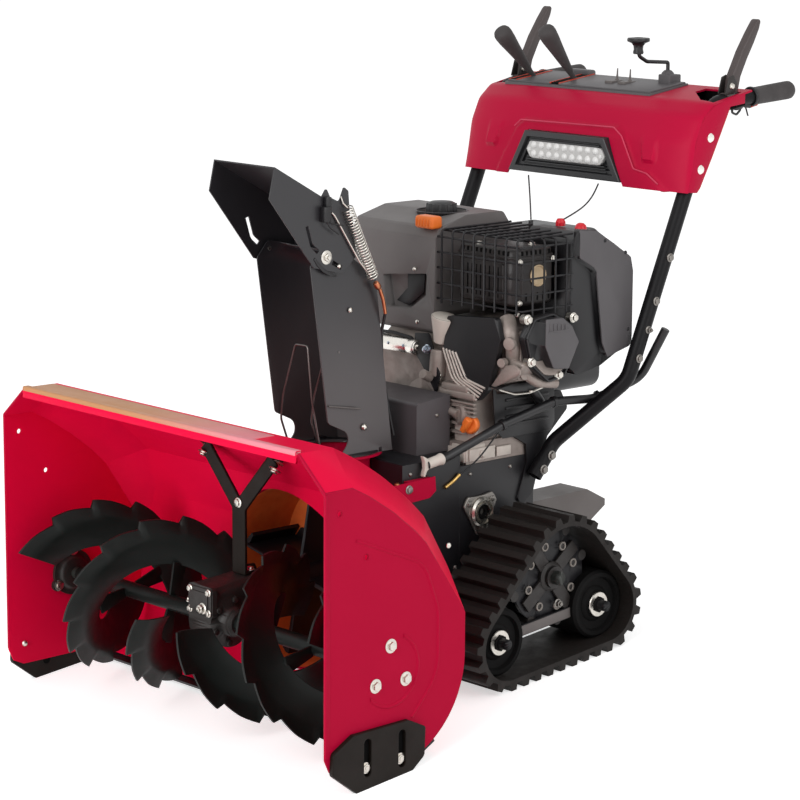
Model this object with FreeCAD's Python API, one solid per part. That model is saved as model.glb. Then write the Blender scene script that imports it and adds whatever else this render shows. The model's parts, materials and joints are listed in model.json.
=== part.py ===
"""Tracked snow blower: two-stage housing, serrated auger, turning chute, engine, triangular tracks.

Two frames are used.  The machine frame is level with the housing: X across (+X is the
operator's left), Y rearwards, Z up.  The ground frame is the part's own frame: the tracks and
skid shoes stand flat at Z = 0 and the upper machine is pitched nose-up about the drive axle.
Sub-parts of the upper machine are drawn in the machine frame and placed by to_ground().
"""
import FreeCAD
import Part
import math
import os

V = FreeCAD.Vector
os.makedirs("parts", exist_ok=True)

# ------------------------------------------------------------------ driving dimensions (mm, degrees)
pitch = 6.0                  # nose-up angle of the upper machine over the tracks

sheet = 3.0                  # pressed-steel wall
clearing_width = 870.0       # over the two side plates
drift_holes = [(31, 461), (88, 382)]    # bolt holes for drift cutters in each side plate
drift_hole_radius = 4.5
intake_top = 552.0           # height of the mouth's upper edge
back_start = 72.0            # depth of the flat top behind the mouth
back_end = 272.0             # where the bowed back of the wrapper ends
back_drop = 143.0            # its fall between them
back_bulge = 11.0            # its rise over a straight line
back_foot_z = 322.0          # where the rear face stands upright
mouth_bottom = 30.0
corner_across = 64.0         # bevelled top corners, measured across
corner_down = 56.0           # and downwards
side_corner_radius = 34.0

auger_y = 141.0
auger_z = 185.0
auger_radius = 155.0
auger_clearance = 8.0
tooth_depth = 15.0
teeth_per_ribbon = 12
ribbon_wall = 5.0
ribbon_inner_radius = 67.0
ribbon_ridge_radius = 122.0  # crease between the toothed rim and the cupped inner part
ribbon_cup = 10.0            # axial depth of the crease
ribbon_start = 156.0         # angle of a ribbon's outer tip, from the rear over the top
ribbon_wrap = 340.0          # angle from a ribbon's outer tip to its inner one
ribbon_side_gap = 34.0       # between a ribbon's outer tip and the side plate
ribbon_gearbox_gap = 14.0    # between its inner tip and the gearbox
arm_turns = (141.0, 261.0)   # where arms join a ribbon to its sleeve, from the outer tip
arm_width = 32.0
auger_shaft_radius = 10.5
sleeve_wall = 3.5
running_gap = 0.05
moving_gap = 6.0

impeller_z = 230.0
drum_radius = 160.0
drum_lap = 11.0              # how far the drum reaches into the wrapper's rear face
drum_depth = 140.0
impeller_shaft_radius = 13.0
impeller_blades = 4

chute_setback = 104.0        # turning axis of the chute behind the drum's front
chute_neck_radius = 66.0
chute_flange_radius = 86.0
chute_ring_z = 446.0
chute_half_width = 72.0
chute_back = 74.0            # rear face of the chute's foot behind its turning axis
chute_sheet = 2.5

chassis_half_width = 140.0
lower_cover_top = 433.0
chassis_rear = 760.0
chassis_top = 412.0
chassis_bottom = 205.0
chassis_break = 575.0        # where the lower cover ends and the chassis sides begin

belt_cover_half_width = 95.0
belt_cover_front = 511.0
belt_cover_rear = 592.0
belt_cover_top = 526.0

crank_z = 490.0              # crankshaft height in the machine frame
engine_front = 600.0
engine_base_z = 440.0
shroud_front = 800.0         # blower housing
shroud_rear = 960.0
guard_x = (42.0, 246.0)      # silencer cage
guard_y = (616.0, 746.0)
guard_z = (694.0, 804.0)

handle_x = 268.0
handle_tube_radius = 14.0
handle_wall = 2.0
cable_radius = 1.5
dash_half_width = 290.0

axle_y = 670.0               # drive axle, machine frame
axle_z = 222.0
axle_height = 160.0          # drive axle over the ground
axle_radius = 12.5

track_outer_x = 320.0
track_width = 140.0
belt_thickness = 8.0
lug_height = 12.0
idler_radius = 62.0
front_idler_y = -149.0       # from the drive axle, ground frame
rear_idler_y = 100.0
drive_arc_radius = 98.0       # inner radius of the track over the sprocket
seat_gap = 0.3               # between a curved piece and its seat

# mates of the housing and the drum behind it
drum_front = auger_y + auger_radius + auger_clearance + sheet - drum_lap
chute_y = drum_front + chute_setback
lower_cover_front = drum_front + drum_depth
front_lip = 16.0             # depth of the rolled edge along the mouth's top


# ------------------------------------------------------------------ small tools
def rounded_wire(corners, place):
    """Closed wire through (u, v) or (u, v, radius) corners, mapped into space by place."""
    spans = []
    count = len(corners)
    for index, corner in enumerate(corners):
        here = V(corner[0], corner[1], 0)
        radius = corner[2] if len(corner) > 2 else 0
        if radius == 0:
            spans.append((here, None, here))
            continue
        before = V(*corners[index - 1][:2], 0) - here
        after = V(*corners[(index + 1) % count][:2], 0) - here
        before.normalize()
        after.normalize()
        half_turn = before.getAngle(after) / 2
        reach = radius / math.tan(half_turn)
        bisector = (before + after).normalize()
        centre = here + bisector * (radius / math.sin(half_turn))
        spans.append((here + before * reach, centre - bisector * radius, here + after * reach))
    edges = []
    for index, (start, middle, end) in enumerate(spans):
        if middle is not None:
            edges.append(Part.Arc(place(start), place(middle), place(end)).toShape())
        following = spans[(index + 1) % count][0]
        if (following - end).Length > 1e-6:
            edges.append(Part.makeLine(place(end), place(following)))
    return Part.Wire(edges)


PLACERS = {
    "x": lambda at: (lambda p: V(at, p.x, p.y)),
    "y": lambda at: (lambda p: V(p.x, at, p.y)),
    "z": lambda at: (lambda p: V(p.x, p.y, at)),
}
DIRECTIONS = {"x": V(1, 0, 0), "y": V(0, 1, 0), "z": V(0, 0, 1)}


def prism(corners, axis, low, high):
    """Solid with the outline corners, running along axis from low to high."""
    wire = rounded_wire(corners, PLACERS[axis](low))
    return Part.Face(wire).extrude(DIRECTIONS[axis] * (high - low))


def block(x, y, z):
    """Box between the pairs x, y and z."""
    return Part.makeBox(x[1] - x[0], y[1] - y[0], z[1] - z[0], V(x[0], y[0], z[0]))


def rod(start, end, radius):
    """Round bar between two points."""
    span = end - start
    return Part.makeCylinder(radius, span.Length, start, span)


def ring(centre, axis, outer, inner, length):
    """Tube with its first face at centre."""
    return (Part.makeCylinder(outer, length, centre, axis)
            .cut(Part.makeCylinder(inner, length, centre, axis)))


def revolve(profile, centre, axis):
    """Turn (radius, along) corners about axis through centre."""
    side = V(0, 0, 1) if abs(axis.z) < 0.9 else V(1, 0, 0)
    side = side.sub(axis * side.dot(axis)).normalize()
    wire = rounded_wire(profile, lambda p: centre + side * p.x + axis * p.y)
    return Part.Face(wire).revolve(centre, axis, 360)


def bent_path(points, radii):
    """Wire of straight runs joined by tangent arcs at the inner points."""
    edges = []
    start = points[0]
    for index in range(1, len(points) - 1):
        here = points[index]
        back = (points[index - 1] - here).normalize()
        ahead = (points[index + 1] - here).normalize()
        half_turn = back.getAngle(ahead) / 2
        radius = radii[index - 1]
        reach = radius / math.tan(half_turn)
        bisector = (back + ahead).normalize()
        first = here + back * reach
        middle = here + bisector * (radius / math.sin(half_turn) - radius)
        last = here + ahead * reach
        if (first - start).Length > 1e-6:
            edges.append(Part.makeLine(start, first))
        edges.append(Part.Arc(first, middle, last).toShape())
        start = last
    edges.append(Part.makeLine(start, points[-1]))
    return Part.Wire(edges)


def tube(points, radii, outer, inner=0.0):
    """Round bar or tube bent along points."""
    path = bent_path(points, radii)
    direction = points[1] - points[0]

    def sweep(radius):
        circle = Part.Wire([Part.Circle(points[0], direction, radius).toShape()])
        return path.makePipeShell([circle], True, False)

    solid = sweep(outer)
    return solid.cut(sweep(inner)) if inner else solid


def mirror_x(shape):
    """The same piece on the other side of the machine."""
    return shape.mirror(V(0, 0, 0), V(1, 0, 0))


def both_sides(shape):
    """A pair of pieces, left and right."""
    return Part.makeCompound([shape, mirror_x(shape)])


def fuse(shapes):
    """One solid from shapes that overlap or touch."""
    return shapes[0].multiFuse(shapes[1:]).removeSplitter()


def half_space_cut(solid, p1, p2, p3, outside):
    """Cut away the side of the plane p1-p2-p3 where the point outside lies."""
    normal = (p2 - p1).cross(p3 - p1).normalize()
    if normal.dot(outside - p1) < 0:
        normal = normal * -1
    size = 2500.0
    slab = Part.makeBox(size, size, size, V(-size / 2, -size / 2, 0))
    slab.Placement = FreeCAD.Placement(p1, FreeCAD.Rotation(V(0, 0, 1), normal))
    return solid.cut(slab)


# ------------------------------------------------------------------ housing
heel_angle = math.radians(-62)
heel_normal = V(0, math.cos(heel_angle), math.sin(heel_angle))
heel_tangent = V(0, -math.sin(heel_angle), math.cos(heel_angle))


def housing_profile(inset):
    """Rear face, arc radius and heel of the wrapper's side outline, moved inwards by inset."""
    radius = auger_radius + auger_clearance + sheet - inset
    rear = auger_y + radius
    heel = (auger_y + radius * heel_normal.y, auger_z + radius * heel_normal.z)
    return rear, radius, heel


def back_arc():
    """Centre and radius of the wrapper's bowed back, in the side view."""
    depth = back_end - back_start
    chord = math.hypot(depth, back_drop)
    radius = chord * chord / (8 * back_bulge) + back_bulge / 2
    away = radius - back_bulge
    return (V(0, (back_start + back_end) / 2 - back_drop / chord * away,
              intake_top - back_drop / 2 - depth / chord * away), radius)


def wrapper_slope(y):
    """Height of the wrapper's outer face where its bowed back slopes down."""
    centre, radius = back_arc()
    return centre.z + math.sqrt(radius ** 2 - (y - centre.y) ** 2)


def bevel_planes(inset):
    """Planes that bevel the upper edge of the left side, as three points each."""
    half = clearing_width / 2 - inset
    inner_x = half - corner_across
    top = intake_top - inset
    rear = housing_profile(inset)[0]
    planes = [(V(inner_x, 0, top), V(inner_x, back_start, top), V(half, 0, top - corner_down))]
    centre, radius = back_arc()
    first = math.atan2(intake_top - centre.z, back_start - centre.y)
    last = math.atan2(intake_top - back_drop - centre.z, back_end - centre.y)
    for share in (0.1, 0.37, 0.63, 0.9):
        angle = first + (last - first) * share
        out = V(0, math.cos(angle), math.sin(angle))
        edge = V(inner_x, centre.y, centre.z) + out * (radius - inset)
        planes.append((edge, edge + V(0, -out.z, out.y) * 50, edge + V(corner_across, 0, 0) - out * corner_down))
    end = V(inner_x, back_end - inset * 0.7, intake_top - back_drop - inset * 0.7)
    planes.append((end, V(half, rear - 6, back_foot_z - 60), V(half, 218, end.z - 25)))
    return planes


def housing_solid(inset, front, toe, tail=14.0):
    """Filled form of the housing: side outline run across and bevelled at its top corners.

    The outline leaves its rear arc at the heel and runs on along the tangent for tail."""
    rear, radius, heel = housing_profile(inset)
    half = clearing_width / 2 - inset
    top = intake_top - inset
    centre, bow = back_arc()
    bow_start = V(0, back_start - inset * 0.3, top)
    bow_end = V(0, back_end - inset * 0.7, intake_top - back_drop - inset * 0.7)
    bow_out = ((bow_start + bow_end) * 0.5 - centre).normalize()
    points = [V(0, front, top), bow_start, bow_end, V(0, rear, back_foot_z - inset * 0.4), V(0, rear, auger_z)]
    edges = [Part.makeLine(points[0], points[1]),
             Part.Arc(bow_start, centre + bow_out * (bow - inset), bow_end).toShape(),
             Part.makeLine(points[2], points[3]), Part.makeLine(points[3], points[4])]
    middle = math.radians(-31)
    arc_end = V(0, heel[0], heel[1])
    arc_mid = V(0, auger_y + radius * math.cos(middle), auger_z + radius * math.sin(middle))
    edges.append(Part.Arc(points[-1], arc_mid, arc_end).toShape())
    corners = [arc_end, arc_end - heel_tangent * tail, V(0, front, toe), points[0]]
    edges += [Part.makeLine(a, b) for a, b in zip(corners, corners[1:])]
    solid = Part.Face(Part.Wire(edges)).extrude(V(2 * half, 0, 0))
    solid.translate(V(-half, 0, 0))
    outside = V(half + 60, auger_y, intake_top + 60)
    for side in (1, -1):
        for plane in bevel_planes(inset):
            flip = [V(side * p.x, p.y, p.z) for p in plane]
            solid = half_space_cut(solid, *flip, V(side * outside.x, outside.y, outside.z))
    return solid


def pressed_ribs():
    """Beads pressed outwards in the left side plate: one along its rear edge, one round the bearing."""
    x = clearing_width / 2 - 1.5
    bead = 3.5
    rear = housing_profile(0.0)[0] - 61
    edge_bead = tube([V(x, 66, intake_top - 140), V(x, rear - 32, auger_z + 166), V(x, rear, auger_z + 82),
                      V(x, rear, auger_z - 24), V(x, rear - 58, auger_z - 88)], [60, 70, 90, 60], bead)
    around = Part.makeTorus(60, bead, V(x, auger_y, auger_z), V(1, 0, 0))
    front_side = block((x - 20, x + 20), (auger_y - 90, auger_y - 44), (auger_z - 90, auger_z + 90))
    upper_side = block((x - 20, x + 20), (auger_y - 90, auger_y + 28), (auger_z - 30, auger_z + 90))
    around = around.cut(front_side).cut(upper_side)
    outer_half = block((x, x + 20), (0, 400), (0, 600))
    return [edge_bead.common(outer_half), around.common(outer_half)]


def housing():
    """Wrapper sheet and the two side plates, as separate pieces."""
    outer = housing_solid(0.0, 0.0, mouth_bottom)
    inner = housing_solid(sheet, -40.0, mouth_bottom - 40, 60.0)
    shell = outer.cut(inner)
    drum_hole = Part.makeCylinder(drum_radius, 200, V(0, 200, impeller_z), V(0, 1, 0))
    half = clearing_width / 2 - sheet
    middle = block((-half, half), (-60, 400), (-20, 700))
    bevel = half + sheet - corner_across
    wrapper = shell.common(middle).cut(drum_hole)
    side = shell.common(block((half, half + 10), (-60, 400), (-20, 700)))
    lip = prism([(-4, intake_top - front_lip), (0, intake_top - front_lip), (0, intake_top - sheet),
                 (8, intake_top - sheet), (8, intake_top + 4, 3), (-4, intake_top + 4, 3)],
                "x", -bevel + 2, bevel - 2)
    wrapper = fuse([wrapper, lip])
    corner = prism([(-1, mouth_bottom - 1), (side_corner_radius, mouth_bottom - 1),
                    (side_corner_radius * 0.3, mouth_bottom + side_corner_radius * 0.3),
                    (-1, mouth_bottom + side_corner_radius)], "x", half - 1, half + 20)
    side = side.cut(corner)
    hem = block((half + sheet - 1, half + sheet + 1.2), (0, 9),
                (mouth_bottom + side_corner_radius, intake_top - corner_down))
    side = fuse([side, hem] + pressed_ribs())
    for y, z in drift_holes:
        side = side.cut(Part.makeCylinder(drift_hole_radius, 10, V(half - 1, y, z), V(1, 0, 0)))
    return wrapper, side


def impeller_drum():
    """Round chamber behind the wrapper with its outlet neck and back plate."""
    front = V(0, drum_front, impeller_z)
    back = drum_front + drum_depth
    shelf = impeller_z + drum_radius + 8
    outer = Part.makeCylinder(drum_radius + sheet, drum_depth, front, V(0, 1, 0))
    neck = Part.makeCylinder(chute_neck_radius, chute_ring_z - impeller_z, V(0, chute_y, impeller_z))
    neck = neck.cut(block((-200, 200), (back, back + 200), (0, shelf)))
    neck_bore = Part.makeCylinder(chute_neck_radius - sheet, chute_ring_z - impeller_z + 5,
                                  V(0, chute_y, impeller_z))
    neck_bore = neck_bore.cut(block((-200, 200), (back - sheet, back + 200), (0, shelf + sheet)))
    cavity = Part.makeCylinder(drum_radius, drum_depth - sheet, front, V(0, 1, 0))
    body = outer.fuse(neck).cut(cavity).cut(neck_bore)
    shaft_hole = Part.makeCylinder(impeller_shaft_radius + 6, 60, V(0, back - 40, impeller_z), V(0, 1, 0))
    return body.cut(shaft_hole).cut(housing_solid(0.0, 0.0, mouth_bottom))


def chute_base():
    """Flange plate round the neck that the chute turns on."""
    return ring(V(0, chute_y, chute_ring_z - 4), V(0, 0, 1), chute_flange_radius,
                chute_neck_radius + running_gap, 4)


def scraper_bar():
    """Wear strip outside the wrapper's lower edge, reaching almost to the ground."""
    heel = V(0, *housing_profile(0.0)[2])
    half = clearing_width / 2 - sheet
    top = heel + heel_tangent * 24
    bottom = heel - heel_tangent * 32
    outline = [top, top + heel_normal * 6, bottom + heel_normal * 6, bottom]
    return prism([(p.y, p.z) for p in outline], "x", -half, half)


def ground_at(y):
    """Height of the ground under machine-frame y."""
    lean = math.radians(pitch)
    return axle_z + ((y - axle_y) * math.sin(lean) - axle_height) / math.cos(lean)


def skid_shoe():
    """Slotted runner bolted outside the left side plate, its foot flat on the ground."""
    x = clearing_width / 2
    front, rear = 60, 183
    flat = prism([(9, 36, 10), (front, ground_at(front)), (rear, ground_at(rear)), (209, 30, 10),
                  (211, 79, 6), (174, 97), (54, 95), (12, 72, 10)], "x", x, x + 9)
    for centre in (84, 159):
        slot = prism([(centre - 8, 20, 7.9), (centre + 8, 20, 7.9), (centre + 8, 84, 7.9),
                      (centre - 8, 84, 7.9)], "x", x - 1, x + 20)
        flat = flat.cut(slot)
    return flat


def bearing_flange():
    """Three-eared cast bearing inside the left side plate."""
    x = clearing_width / 2 - sheet
    centre = V(x, auger_y, auger_z)
    hub = revolve([(auger_shaft_radius + running_gap, 0), (34, 0), (34, -5), (26, -14),
                   (auger_shaft_radius + running_gap, -14)], centre, V(1, 0, 0))
    ears = []
    for turn in (90, 210, 330):
        angle = math.radians(turn)
        at = V(x - 6, auger_y + 40 * math.cos(angle), auger_z + 40 * math.sin(angle))
        ears.append(Part.makeCylinder(11, 6, at, V(1, 0, 0)))
    plate = Part.makeCylinder(42, 6, V(x - 6, auger_y, auger_z), V(1, 0, 0))
    bore = Part.makeCylinder(auger_shaft_radius + running_gap, 40, V(x - 20, auger_y, auger_z), V(1, 0, 0))
    return fuse([hub, plate] + ears).cut(bore)


# ------------------------------------------------------------------ auger, gearbox, impeller
gearbox_half_width = 44.0
gearbox_front = auger_y - 36
gearbox_rear = auger_y + 80
gearbox_rise = 26.0          # top of the case over the impeller shaft
brace_y = 182.0


def auger_gearbox():
    """Worm gearbox on the auger shaft with its front cover and input nose."""
    top = impeller_z + gearbox_rise
    body = prism([(gearbox_front, impeller_z - 32, 6), (auger_y, auger_z - 44, 12),
                  (auger_y + 44, auger_z - 30, 14), (gearbox_rear, impeller_z - 28, 6),
                  (gearbox_rear, top, 8), (gearbox_front, top - 8, 6)], "x", -28, 28)
    wheel_case = Part.makeCylinder(46, 60, V(-30, auger_y, auger_z), V(1, 0, 0))
    hub = Part.makeCylinder(26, 2 * gearbox_half_width, V(-gearbox_half_width, auger_y, auger_z), V(1, 0, 0))
    nose = Part.makeCylinder(26, 40, V(0, gearbox_rear - 20, impeller_z), V(0, 1, 0))
    cover = prism([(-33, top - 61, 8), (33, top - 61, 8), (33, top - 6, 8), (-33, top - 6, 8)], "y",
                  gearbox_front - 8, gearbox_front + 2)
    solid = fuse([body, wheel_case, hub, nose, cover])
    bore = Part.makeCylinder(auger_shaft_radius + running_gap, 200, V(-100, auger_y, auger_z), V(1, 0, 0))
    worm_bore = Part.makeCylinder(impeller_shaft_radius + running_gap, 60,
                                  V(0, gearbox_rear - 10, impeller_z), V(0, 1, 0))
    return solid.cut(bore).cut(worm_bore)


def gearbox_brace():
    """Forked strap from the gearbox's top to the sloping back of the housing."""
    foot_z = impeller_z + gearbox_rise
    fork_z = foot_z + 128
    stem = block((-17, 17), (brace_y, brace_y + 5), (foot_z, fork_z + 8))
    foot = block((-17, 17), (brace_y, brace_y + 30), (foot_z, foot_z + 5))
    slope = math.atan(back_drop / (back_end - back_start))
    pieces = [stem, foot]
    for side in (1, -1):
        start = V(side * 6, brace_y + 2.5, fork_z - 6)
        tab_y = brace_y - 2
        end = V(side * 92, tab_y, wrapper_slope(tab_y) - sheet / math.cos(slope) - 14)
        across = (end - start).cross(V(0, 1, 0)).normalize() * 13
        outline = [start - across, start + across, end + across, end - across]
        pieces.append(prism([(p.x, p.z) for p in outline], "y", brace_y, brace_y + 5))
        tab = prism([(tab_y - 14, wrapper_slope(tab_y - 14) - 3.9), (tab_y + 12, wrapper_slope(tab_y + 12) - 3.9),
                     (tab_y + 12, wrapper_slope(tab_y + 12) - 12), (tab_y - 14, wrapper_slope(tab_y - 14) - 12)],
                    "x", side * 108 if side < 0 else 82, -82 if side < 0 else 108)
        pieces.append(tab)
    return fuse(pieces)


def auger_shaft():
    """Cross shaft through both bearings and the gearbox."""
    half = clearing_width / 2 - sheet - 0.3
    return rod(V(-half, auger_y, auger_z), V(half, auger_y, auger_z), auger_shaft_radius)


def ribbon_corners(turn, x, outer):
    """Eight corners of a ribbon's cupped cross-section at one angle, outer face first."""
    half_way = (ribbon_inner_radius + ribbon_ridge_radius) / 2
    profile = [(ribbon_inner_radius, 2.0), (half_way, -0.7 * ribbon_cup), (ribbon_ridge_radius, -ribbon_cup),
               (outer, 0.0)]
    out = V(0, math.cos(turn), math.sin(turn))
    base = V(x, auger_y, auger_z)
    face = [base + out * radius + V(along, 0, 0) for radius, along in profile]
    return face + [corner - V(ribbon_wall, 0, 0) for corner in reversed(face)]


def ribbon_stations():
    """Share of the wrap and outer radius where a ribbon changes: each saw tooth rises at once
    and falls away slowly."""
    root = auger_radius - tooth_depth
    stations = []
    for tooth in range(teeth_per_ribbon):
        if tooth:
            stations.append((tooth / teeth_per_ribbon, root))
        rise = 0.07 if tooth else 0.0
        stations.append(((tooth + rise) / teeth_per_ribbon, auger_radius))
        stations.append(((tooth + 0.5) / teeth_per_ribbon, auger_radius - 0.4 * tooth_depth))
    stations.append((1.0, root))
    return stations


def ribbon_x(share):
    """Distance of a ribbon of the left half from the machine's middle, at a share of its wrap."""
    outer_tip = clearing_width / 2 - sheet - ribbon_side_gap
    inner_tip = gearbox_half_width + ribbon_gearbox_gap
    return outer_tip + (inner_tip - outer_tip) * share


def auger_ribbon(start):
    """One serrated ribbon of the left half: a cupped strip wound about the shaft, of flat facets."""
    loops = []
    for share, outer in ribbon_stations():
        turn = math.radians(start - ribbon_wrap * share)
        loops.append(ribbon_corners(turn, ribbon_x(share), outer))
    faces = [Part.Face(Part.makePolygon(loop + [loop[0]])) for loop in (loops[0], loops[-1])]
    for near, far in zip(loops, loops[1:]):
        for index in range(len(near)):
            following = (index + 1) % len(near)
            for triangle in ((near[index], near[following], far[following]),
                             (near[index], far[following], far[index])):
                faces.append(Part.Face(Part.makePolygon(list(triangle) + [triangle[0]])))
    solid = Part.makeSolid(Part.makeShell(faces))
    if solid.Volume < 0:
        solid.reverse()
    return solid


def ribbon_arm(start, wound):
    """Flat arm from the sleeve to the ribbon's inner edge, wound degrees from the outer tip."""
    turn = math.radians(start - wound)
    out = V(0, math.cos(turn), math.sin(turn))
    across = V(0, -math.sin(turn), math.cos(turn))
    base = V(ribbon_x(wound / ribbon_wrap) - ribbon_wall, auger_y, auger_z)
    tip = ribbon_inner_radius + 6
    half = arm_width / 2
    corners = [base + out * (auger_shaft_radius + 1) - across * half * 0.6,
               base + out * (auger_shaft_radius + 1) + across * half * 0.6,
               base + out * tip + across * half, base + out * tip - across * half]
    return Part.Face(Part.makePolygon(corners + [corners[0]])).extrude(V(ribbon_wall, 0, 0))


def auger_flight():
    """Two ribbons of the left half, half a turn apart, on their arms and shaft sleeve."""
    sleeve_start = gearbox_half_width + 6
    sleeve_end = ribbon_x(0) + ribbon_wall
    pieces = [Part.makeCylinder(auger_shaft_radius + sleeve_wall, sleeve_end - sleeve_start,
                                V(sleeve_start, auger_y, auger_z), V(1, 0, 0))]
    for start in (ribbon_start, ribbon_start + 180):
        pieces.append(auger_ribbon(start))
        pieces += [ribbon_arm(start, wound) for wound in arm_turns]
    bore = Part.makeCylinder(auger_shaft_radius + running_gap, clearing_width, V(0, auger_y, auger_z), V(1, 0, 0))
    return pieces[0].multiFuse(pieces[1:]).cut(bore)


def impeller():
    """Bladed fan with its shaft into the gearbox and back through the drum's plate."""
    y_front = drum_front + 22
    y_back = drum_front + drum_depth - sheet - moving_gap
    hub = Part.makeCylinder(26, y_back - y_front + 4, V(0, y_front - 4, impeller_z), V(0, 1, 0))
    shaft = rod(V(0, gearbox_rear - 6, impeller_z), V(0, belt_cover_front - 20, impeller_z),
                impeller_shaft_radius)
    tip = drum_radius - moving_gap
    blades = []
    for index in range(impeller_blades):
        blade = prism([(-4, 20), (4, 20), (4, tip - 14), (22, tip - 22), (26, tip - 17), (5, tip - 3), (-4, tip - 3)],
                      "y", y_front, y_back)
        rib = prism([(4, 22), (24, 40), (24, tip - 30), (4, tip - 20)], "y", y_back - 5, y_back)
        fin = blade.fuse(rib)
        fin.translate(V(0, 0, impeller_z))
        fin.rotate(V(0, 0, impeller_z), V(0, 1, 0), 360.0 * index / impeller_blades + 12)
        blades.append(fin)
    return fuse([hub, shaft] + blades)


# ------------------------------------------------------------------ chute
pivot_y = 312.0              # deflector's pivot
pivot_z = 804.0
pivot_radius = 5.0


def chute():
    """Three-sided bent-sheet chute on its turning ring, with the deflector's pivot pins."""
    half = chute_half_width
    t = chute_sheet
    base_z = chute_ring_z + 0.3
    foot_back = chute_y + chute_back
    outer = prism([(chute_y - 50, base_z), (383, 484, 20), (324, 512, 10), (284, 790, 8), (310, 820, 12),
                   (364, 806, 8), (433, 759), (foot_back, base_z)], "x", -half, half)
    hollow = prism([(200, base_z - 5), (200, 900), (364 - t, 900), (364 - t, 804 - t), (433 - t, 759 - t),
                    (foot_back - t, base_z - 5)], "x", -half + t, half - t)
    body = outer.cut(hollow)
    plate = ring(V(0, chute_y, base_z), V(0, 0, 1), chute_flange_radius - 4, chute_neck_radius - 6, 4)
    pins = [rod(V(side * (half - 1), pivot_y, pivot_z), V(side * (half + 12), pivot_y, pivot_z), pivot_radius)
            for side in (1, -1)]
    return fuse([plate, body] + pins)


def deflector():
    """Hinged cap of the chute: two slotted cheeks with spring lugs, and a sloping roof plate."""
    half = chute_half_width + moving_gap
    t = chute_sheet
    outline = [(186, 913), (198, 966), (312, 903), (372, 868), (380, 800, 8), (350, 772, 16), (284, 788)]
    outer = prism(outline, "x", -half - t, half + t)
    hollow = prism([(176, 917), (188, 968), (198, 966 - t), (312, 903 - t), (372 - t, 868 - t), (377.5, 800),
                    (400, 700), (200, 700)], "x", -half, half)
    solid = outer.cut(hollow)
    lug = [(300, 880), (300, 906), (312, 923, 3), (321, 906, 5), (341, 897, 5), (352, 922, 3), (362, 914, 3),
           (366, 868)]
    for side in (1, -1):
        cheek = sorted((side * half, side * (half + t)))
        solid = solid.fuse(prism(lug, "x", *cheek))
        x = side * (half + t / 2)
        upper_slot = tube([V(x, 269, 861), V(x, 280, 826), V(x, 294, 814)], [14], 4)
        lower_slot = rod(V(x, 326, 794), V(x, 346, 783), 4)
        solid = solid.cut(upper_slot).cut(lower_slot)
    holes = Part.makeCylinder(pivot_radius + running_gap, 300, V(-150, pivot_y, pivot_z), V(1, 0, 0))
    return solid.cut(holes)


# ------------------------------------------------------------------ chassis and covers
def chassis_frame():
    """Folded chassis box under the engine, open inside."""
    x = chassis_half_width
    outer = prism([(chassis_break, chassis_bottom), (chassis_rear - 20, chassis_bottom, 12),
                   (chassis_rear, chassis_bottom + 60), (chassis_rear, chassis_top), (chassis_break, chassis_top)],
                  "x", -x, x)
    inner = prism([(chassis_break - 5, chassis_bottom + sheet), (chassis_rear - 22, chassis_bottom + sheet, 12),
                   (chassis_rear - sheet, chassis_bottom + 62), (chassis_rear - sheet, chassis_top - sheet),
                   (chassis_break - 5, chassis_top - sheet)], "x", -x + sheet, x - sheet)
    bore = Part.makeCylinder(axle_radius + 3, 400, V(-200, axle_y, axle_z), V(1, 0, 0))
    return outer.cut(inner).cut(bore)


def axle_bearing():
    """Round flange that carries the drive axle in the left chassis side."""
    at = V(chassis_half_width, axle_y, axle_z)
    bore = axle_radius + running_gap
    return revolve([(bore, 0), (34, 0), (34, 5), (24, 8), (24, 16), (bore, 16)], at, V(1, 0, 0))


def lower_cover():
    """Drive housing in front of the chassis, behind the drum."""
    x = chassis_half_width
    outer = prism([(lower_cover_front, chassis_bottom), (chassis_break, chassis_bottom),
                   (chassis_break, lower_cover_top), (lower_cover_front, lower_cover_top)], "x", -x, x)
    inner = prism([(lower_cover_front + sheet, chassis_bottom + sheet), (chassis_break + 5, chassis_bottom + sheet),
                   (chassis_break + 5, lower_cover_top - sheet),
                   (lower_cover_front + sheet, lower_cover_top - sheet)],
                  "x", -x + sheet, x - sheet)
    neck = Part.makeCylinder(chute_neck_radius + 2, 300, V(0, chute_y, impeller_z))
    shaft = Part.makeCylinder(impeller_shaft_radius + 6, 60, V(0, lower_cover_front - 20, impeller_z), V(0, 1, 0))
    return outer.cut(inner).cut(neck).cut(shaft)


def belt_cover():
    """Tall box over the drive belt."""
    x = belt_cover_half_width
    outer = prism([(belt_cover_front, lower_cover_top), (belt_cover_rear, lower_cover_top),
                   (belt_cover_rear, belt_cover_top + 8), (belt_cover_front, belt_cover_top, 6)], "x", -x, x)
    inner = prism([(belt_cover_front + sheet, lower_cover_top - 5), (belt_cover_rear + 5, lower_cover_top - 5),
                   (belt_cover_rear + 5, belt_cover_top + 5), (belt_cover_front + sheet, belt_cover_top - sheet)],
                  "x", -x + sheet, x - sheet)
    return outer.cut(inner)


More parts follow.
